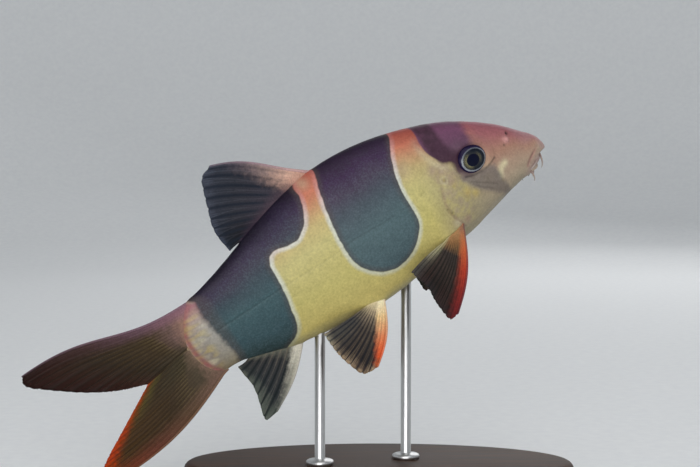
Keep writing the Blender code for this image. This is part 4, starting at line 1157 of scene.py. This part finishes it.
pectoral_finish = fin_finish(
    "red_edged_pectoral_fin_web",
    lead=[
        (0.0, "#8E644C"), (0.10, "#AE6C44"), (0.24, "#BC5E38"), (0.45, "#AC3C28"), (0.7, "#862A26"),
        (1.0, "#5E1C20"),
    ],
    middle=[
        (0.0, "#A07850"), (0.12, "#8A6440"), (0.21, "#76583A"), (0.33, "#38312D"), (0.85, "#221D1A"),
        (1.0, "#262323"),
    ],
    trail=[
        (0.0, "#B0A87C"), (0.25, "#A8A27A"), (0.5, "#88826A"), (0.68, "#565248"), (0.85, "#403E3C"),
        (1.0, "#4A4844"),
    ],
    rays=[(0.0, "#A87850"), (0.30, "#54473C"), (0.8, "#3E2A25"), (1.0, "#402A2A")],
    lead_reach=(0.18, 0.42), trail_reach=(0.78, 0.97), slant=0.12,
    gap_colour="#0E0C0D", gap_amount=0.6, ray_amount=0.45, edge_colour="#54404A",
    # Painted shade darkens the face turned to the body
    body_side_shade_colour="#33362F", body_side_shade_amount=0.8,
)
tail_upper_finish = fin_finish(
    "maroon_upper_tail_fin_web",
    lead=[(0.0, "#86606A"), (0.3, "#5E444E"), (0.6, "#432C2C"), (0.85, "#2A1512"), (1.0, "#1E0B08")],
    middle=[
        (0.0, "#8A6A5C"), (0.10, "#66504A"), (0.26, "#40321F"), (0.6, "#2A1F12"), (0.85, "#260F08"),
        (1.0, "#1E0805"),
    ],
    trail=[(0.0, "#8A6A58"), (0.1, "#443A2C"), (0.6, "#2C2416"), (1.0, "#341A12")],
    rays=[(0.0, "#9A8260"), (0.12, "#6A5A3C"), (0.3, "#443822"), (0.7, "#342416"), (1.0, "#2C100A")],
    lead_reach=(0.05, 0.38), trail_reach=(0.6, 1.0), slant=0.10,
    gap_colour="#1E160C", gap_amount=0.55, ray_amount=0.55, edge_colour="#7E6672",
)
tail_lower_finish = fin_finish(
    "olive_lower_tail_fin_web",
    lead=[
        (0.0, "#6E564A"), (0.3, "#56402F"), (0.6, "#5C3326"), (0.82, "#68301A"), (0.90, "#902E0A"),
        (1.0, "#A03008"),
    ],
    middle=[
        (0.0, "#705A4C"), (0.07, "#4A4032"), (0.4, "#362818"), (0.80, "#3E2A12"), (0.86, "#5A2C10"),
        (0.92, "#9A3008"), (1.0, "#A83408"),
    ],
    trail=[
        (0.0, "#7A6454"), (0.2, "#3A3424"), (0.62, "#33291A"), (0.8, "#4C4420"), (0.9, "#5E3A16"),
        (1.0, "#A03A0C"),
    ],
    rays=[
        (0.0, "#8A7654"), (0.13, "#5E5034"), (0.32, "#443620"), (0.80, "#48341A"), (0.88, "#6A3410"),
        (0.95, "#A8400E"), (1.0, "#A8400E"),
    ],
    lead_reach=(0.04, 0.30), trail_reach=(0.48, 0.84), slant=0.0,
    gap_colour="#22180C", gap_amount=0.5, ray_amount=0.5, edge_colour="#80604C",
)
fins = [
    ("dorsal_fin", dorsal, dorsal_finish), ("anal_fin", anal, anal_finish),
    ("tail_fin_upper", tail_upper, tail_upper_finish), ("tail_fin_lower", tail_lower, tail_lower_finish),
    ("pelvic_fin_right", pelvic(-1, 0), pelvic_finish), ("pelvic_fin_left", pelvic(1, 1), pelvic_finish),
    ("pectoral_fin_right", pectoral(-1, 0), pectoral_finish),
    ("pectoral_fin_left", pectoral(1, 1), pectoral_finish),
]
for seed, (node_name, fin, finish) in enumerate(fins):
    piece = fin_piece("rayed_" + node_name, fin, finish, seed)
    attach(piece, "root")
    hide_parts(node_name)

# Barbels
# Four pairs of short soft feelers round the mouth, two pairs on the snout and two behind.
# Cast in soft resin and glued into drilled holes at the lips.
BARBEL_ROUTES = {
    "rostral_inner": [(2.6, 1.0, -1.3), (2.9, 2.3, -3.6), (3.9, 1.6, -4.9)],
    "rostral_outer": [(4.3, 2.5, -1.9), (6.0, 4.5, -2.7), (7.8, 3.9, -3.2)],
    "maxillary": [(7.6, 2.8, -3.8), (7.5, 4.1, -5.2), (7.8, 3.0, -6.6)],
    "mandibular": [(5.9, 0.9, -4.2), (6.1, 1.0, -5.3), (6.9, 1.2, -5.8)],
}
BARBEL_STEPS = 24
BARBEL_SIDES = 14
BARBEL_ROOT, BARBEL_TIP = 0.36, 0.13

barbel_finish, tree = new_finish("pale_pink_feeler_skin")
spots_node = add_node(tree, "TexCoord", output=3)
v_node = add_node(tree, "Attribute", output=2, attribute_name="fin_v")
# Pigment in specks of 0.4 mm shows as a faint mottle
mottle = add_node(tree, "TexNoise", {"Vector": spots_node, "Scale": 2400.0, "Detail": 2.0})
tint = add_node(tree, "ValToRGB", [v_node], stops=[
    (0.0, "#8A726C"), (0.35, "#9C8A82"), (1.0, "#A8A098"),
])
shade = add_node(tree, "MapRange", [mottle, 0.0, 1.0, 0.85, 1.15])
tint = add_node(tree, "VectorMath", {0: tint, "Scale": shade}, operation="SCALE")
bump = add_node(tree, "Bump", {"Strength": 0.3, "Distance": 0.00004, "Height": mottle})
shader = add_node(tree, "BsdfPrincipled", {
    "Base Color": tint, "Roughness": 0.45, "Normal": bump, "IOR": 1.45, "Specular IOR Level": 0.3,
})
add_node(tree, "OutputMaterial", {"Surface": shader})

feeler_points, feeler_edges, feeler_v, feeler_radius = [], [], [], []
for side in (-1, 1):
    for knots in BARBEL_ROUTES.values():
        start_spot, bend, tip = (np.array([knot[0], side * knot[1], knot[2]]) for knot in knots)
        t = np.linspace(0, 1, BARBEL_STEPS + 1)
        first = len(feeler_points)
        for step in t:
            route_spot = start_spot * (1 - step) ** 2 + bend * 2 * step * (1 - step) + tip * step ** 2
            feeler_points.append(place(route_spot).tolist())
        feeler_edges += [(first + step, first + step + 1) for step in range(BARBEL_STEPS)]
        feeler_v += t.tolist()
        feeler_radius += ((BARBEL_ROOT + (BARBEL_TIP - BARBEL_ROOT) * t) * np.sqrt(1.02 - t ** 8)).tolist()
mesh = bpy.data.meshes.new("barbels")
mesh.from_pydata(feeler_points, feeler_edges, [])
store_numbers(mesh, {"fin_v": feeler_v, "ray_radius": feeler_radius, "ray": np.ones(len(feeler_v))})
barbels = link_piece("barbels", mesh)
run_tree(barbels, strands, {"Sides": BARBEL_SIDES, "Thickness": MM, "Finish": barbel_finish})
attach(barbels, "root")
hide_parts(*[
    "barbel_" + kind + "_" + side_name for kind in BARBEL_ROUTES for side_name in ("left", "right")])

# Stand base
# An oval plinth of walnut, turned with a small cove under a rounded top edge.
# Stained dark, sanded and waxed, it lies flat and carries both rods.
BASE_LENGTH, BASE_WIDTH, BASE_HEIGHT = 116, 62, 8
BASE_SIDES = 192
# How far in from the oval and how far up, from the underside to the top face
BASE_PROFILE = [
    (0.6, 0.0), (0.2, 0.15), (0.0, 0.5), (0.0, 3.2), (0.15, 3.5), (0.9, 3.7), (1.15, 3.95), (1.2, 4.3),
    (1.2, 5.2), (1.3, 6.0), (1.6, 6.8), (2.1, 7.4), (2.8, 7.8), (3.7, BASE_HEIGHT),
]

wood_finish, tree = new_finish("dark_stained_walnut")
spots_node = add_node(tree, "TexCoord", output=3)
# The grain runs the length of the base: figure about 3 mm wide, pores about 0.3 mm
stretched = add_node(tree, "Mapping", {"Vector": spots_node, "Scale": (1.0, 14.0, 14.0)})
figure = add_node(tree, "TexNoise", {"Vector": stretched, "Scale": 22.0, "Detail": 4.0, "Distortion": 0.8})
fibres = add_node(tree, "Mapping", {"Vector": spots_node, "Scale": (1.0, 40.0, 40.0)})
pores = add_node(tree, "TexNoise", {"Vector": fibres, "Scale": 90.0, "Detail": 3.0})
tint = add_node(tree, "ValToRGB", [figure], stops=[
    (0.30, "#2A1A12"), (0.48, "#3E281B"), (0.60, "#4D3323"), (0.75, "#33211A"),
])
pore_mask = add_node(tree, "MapRange", [pores, 0.36, 0.46, 0.55, 0.0])
tint = add_node(tree, "Mix", {0: pore_mask, 6: tint, 7: "#170E0A"}, 2, data_type="RGBA")
bump = add_node(tree, "Bump", {"Strength": 0.25, "Distance": 0.0001, "Height": pores})
roughness = add_node(tree, "MapRange", [figure, 0.0, 1.0, 0.5, 0.65])
shader = add_node(tree, "BsdfPrincipled", {
    "Base Color": tint, "Roughness": roughness, "Normal": bump, "IOR": 1.5, "Specular IOR Level": 0.22,
})
add_node(tree, "OutputMaterial", {"Surface": shader})


def turned_rings(profile, sides, half_length=0, half_width=0, centre=(0, 0)):
    """Rings of spots round an upright axis from (radius, height) stops, the radius on top of an oval."""
    around = 2 * math.pi * np.arange(sides) / sides
    radius, height = np.array(profile, dtype=float).T[..., None]
    return np.stack([
        centre[0] + (half_length + radius) * np.cos(around),
        centre[1] + (half_width + radius) * np.sin(around),
        height * np.ones(sides),
    ], axis=-1)


inwards = [(-inset, height) for inset, height in BASE_PROFILE]
mesh = grid_mesh("plinth", turned_rings(inwards, BASE_SIDES, BASE_LENGTH / 2, BASE_WIDTH / 2) * MM)
write_mesh(open_mesh(mesh, close_ends=True), mesh)
plinth = link_piece("oval_plinth", mesh, wood_finish, 40)
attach(plinth, "root")
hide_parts("stand_base")

# Rods
# Two drawn steel rods, each screwed into the plinth through a small turned foot.
# Brushed along their length, they are let into sockets drilled in the belly.
ROD_PLACES = {"front": 42.0, "rear": 67.0}
ROD_RADIUS, FOOT_RADIUS = 1.5, 4.0
ROD_SIDES = 48
ROD_IN_BELLY, FOOT_IN_BASE = 1.2, 0.05

steel_finish, tree = new_finish("brushed_stainless_steel")
spots_node = add_node(tree, "TexCoord", output=3)
# Brush marks 0.1 mm apart are drawn 0.3 mm apart so that they show
brushed = add_node(tree, "Mapping", {"Vector": spots_node, "Scale": (1.0, 1.0, 0.03)})
marks = add_node(tree, "TexNoise", {"Vector": brushed, "Scale": 3300.0, "Detail": 2.0})
tint = add_node(tree, "MapRange", [marks, 0.0, 1.0, 0.50, 0.66])
roughness = add_node(tree, "MapRange", [marks, 0.0, 1.0, 0.24, 0.4])
bump = add_node(tree, "Bump", {"Strength": 0.15, "Distance": 0.00002, "Height": marks})
shader = add_node(tree, "BsdfPrincipled", {
    "Base Color": tint, "Metallic": 1.0, "Roughness": roughness, "Normal": bump,
})
add_node(tree, "OutputMaterial", {"Surface": shader})

skin_tree = BVHTree.FromPolygons(
    [vertex.co for vertex in skin_mesh.vertices], [face.vertices for face in skin_mesh.polygons])
for rod_name, rod_s in ROD_PLACES.items():
    centre = place([rod_s, 0, 0])
    hit = skin_tree.ray_cast(Vector((centre[0], centre[1], 0.0)), Vector((0, 0, 1)))[0]
    top = hit.z / MM + ROD_IN_BELLY
    foot = BASE_HEIGHT - FOOT_IN_BASE
    profile = [
        (FOOT_RADIUS - 0.25, foot), (FOOT_RADIUS, foot + 0.3), (FOOT_RADIUS, foot + 0.95),
        (FOOT_RADIUS - 0.15, foot + 1.25), (FOOT_RADIUS - 0.6, foot + 1.5),
        (FOOT_RADIUS - 1.2, foot + 1.62), (ROD_RADIUS + 0.35, foot + 1.66),
        (ROD_RADIUS + 0.1, foot + 1.75), (ROD_RADIUS, foot + 2.0), (ROD_RADIUS, top - 0.3),
        (ROD_RADIUS - 0.3, top),
    ]
    mesh = grid_mesh("rod_" + rod_name, turned_rings(profile, ROD_SIDES, centre=centre / MM) * MM)
    write_mesh(open_mesh(mesh, close_ends=True), mesh)
    rod = link_piece("steel_rod_" + rod_name, mesh, steel_finish, 50)
    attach(rod, "root")
    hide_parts("stand_rod_" + rod_name)

# Floor and backdrop
# One pale paper sweep: a flat floor that curves up into a wall all round, well clear of the model.
# It is not part of the object.
SWEEP_PROFILE = [
    (0.001, 0.0), (0.5, 0.0), (0.9, 0.0), (1.05, 0.012), (1.18, 0.06), (1.28, 0.16), (1.34, 0.32),
    (1.36, 0.6), (1.36, 1.0), (1.36, 1.6),
]
SWEEP_SIDES = 96

paper_finish, tree = new_finish("pale_backdrop_paper")
spots_node = add_node(tree, "TexCoord", output=3)
# Paper tooth of 4 mm, drawn coarse enough to show at all
tooth = add_node(tree, "TexNoise", {"Vector": spots_node, "Scale": 250.0, "Detail": 2.0})
tint = add_node(tree, "ValToRGB", [tooth], stops=[(0.3, "#ECEDEE"), (0.7, "#F1F2F2")])
shader = add_node(tree, "BsdfPrincipled", {"Base Color": tint, "Roughness": 0.9})
add_node(tree, "OutputMaterial", {"Surface": shader})
mesh = grid_mesh("sweep", turned_rings(SWEEP_PROFILE, SWEEP_SIDES), flip=True)
sweep = link_piece("paper_sweep", mesh, paper_finish)

# Light and camera
# Soft studio light: broad lamps above and low in front on the camera's side, a dim one behind.
# Pale air fills the shadows, and a long lens looks slightly down on the fish's right side.
LAMPS = [
    ("overhead", (0.10, -0.45, 0.80), 0.8, 2.6),
    ("front", (-0.10, -0.95, 0.12), 0.7, 6.2),
    ("behind", (0.3, 0.8, 0.5), 0.7, 1.8),
]
LAMP_AIM = Vector((0, 0, 0.07))
AIR_STRENGTH = 0.38
for lamp_name, spot, size, power in LAMPS:
    lamp = bpy.data.lights.new(lamp_name, "AREA")
    lamp.shape = "SQUARE"
    lamp.size = size
    lamp.energy = power
    lamp_object = bpy.data.objects.new(lamp_name, lamp)
    bpy.context.scene.collection.objects.link(lamp_object)
    lamp_object.location = spot
    lamp_object.rotation_euler = (LAMP_AIM - Vector(spot)).to_track_quat("-Z", "Y").to_euler()
world = bpy.data.worlds.new("pale_air")
world.use_nodes = True
world.node_tree.nodes["Background"].inputs["Color"].default_value = linear("#DCE2E8")
world.node_tree.nodes["Background"].inputs["Strength"].default_value = AIR_STRENGTH
bpy.context.scene.world = world
bpy.context.scene.view_settings.view_transform = "Standard"

CAMERA_DISTANCE = 480 * MM
CAMERA_ASIDE, CAMERA_ABOVE = -8.4 * MM, 1.11 * MM
CAMERA_DOWN = math.radians(3.0)
SENSOR_WIDTH = 36.0
FOCAL_LENGTH_PX, PHOTO_WIDTH_PX = 1660.2, 700
camera_data = bpy.data.cameras.new("camera")
camera_data.sensor_width = SENSOR_WIDTH
camera_data.lens = SENSOR_WIDTH * FOCAL_LENGTH_PX / PHOTO_WIDTH_PX
camera = bpy.data.objects.new("camera", camera_data)
bpy.context.scene.collection.objects.link(camera)
camera.location = (
    CAMERA_ASIDE, -CAMERA_DISTANCE * math.cos(CAMERA_DOWN),
    FISH_HEIGHT + CAMERA_ABOVE + CAMERA_DISTANCE * math.sin(CAMERA_DOWN),
)
camera.rotation_euler = (math.radians(90) - CAMERA_DOWN, 0, 0)
bpy.context.scene.camera = camera
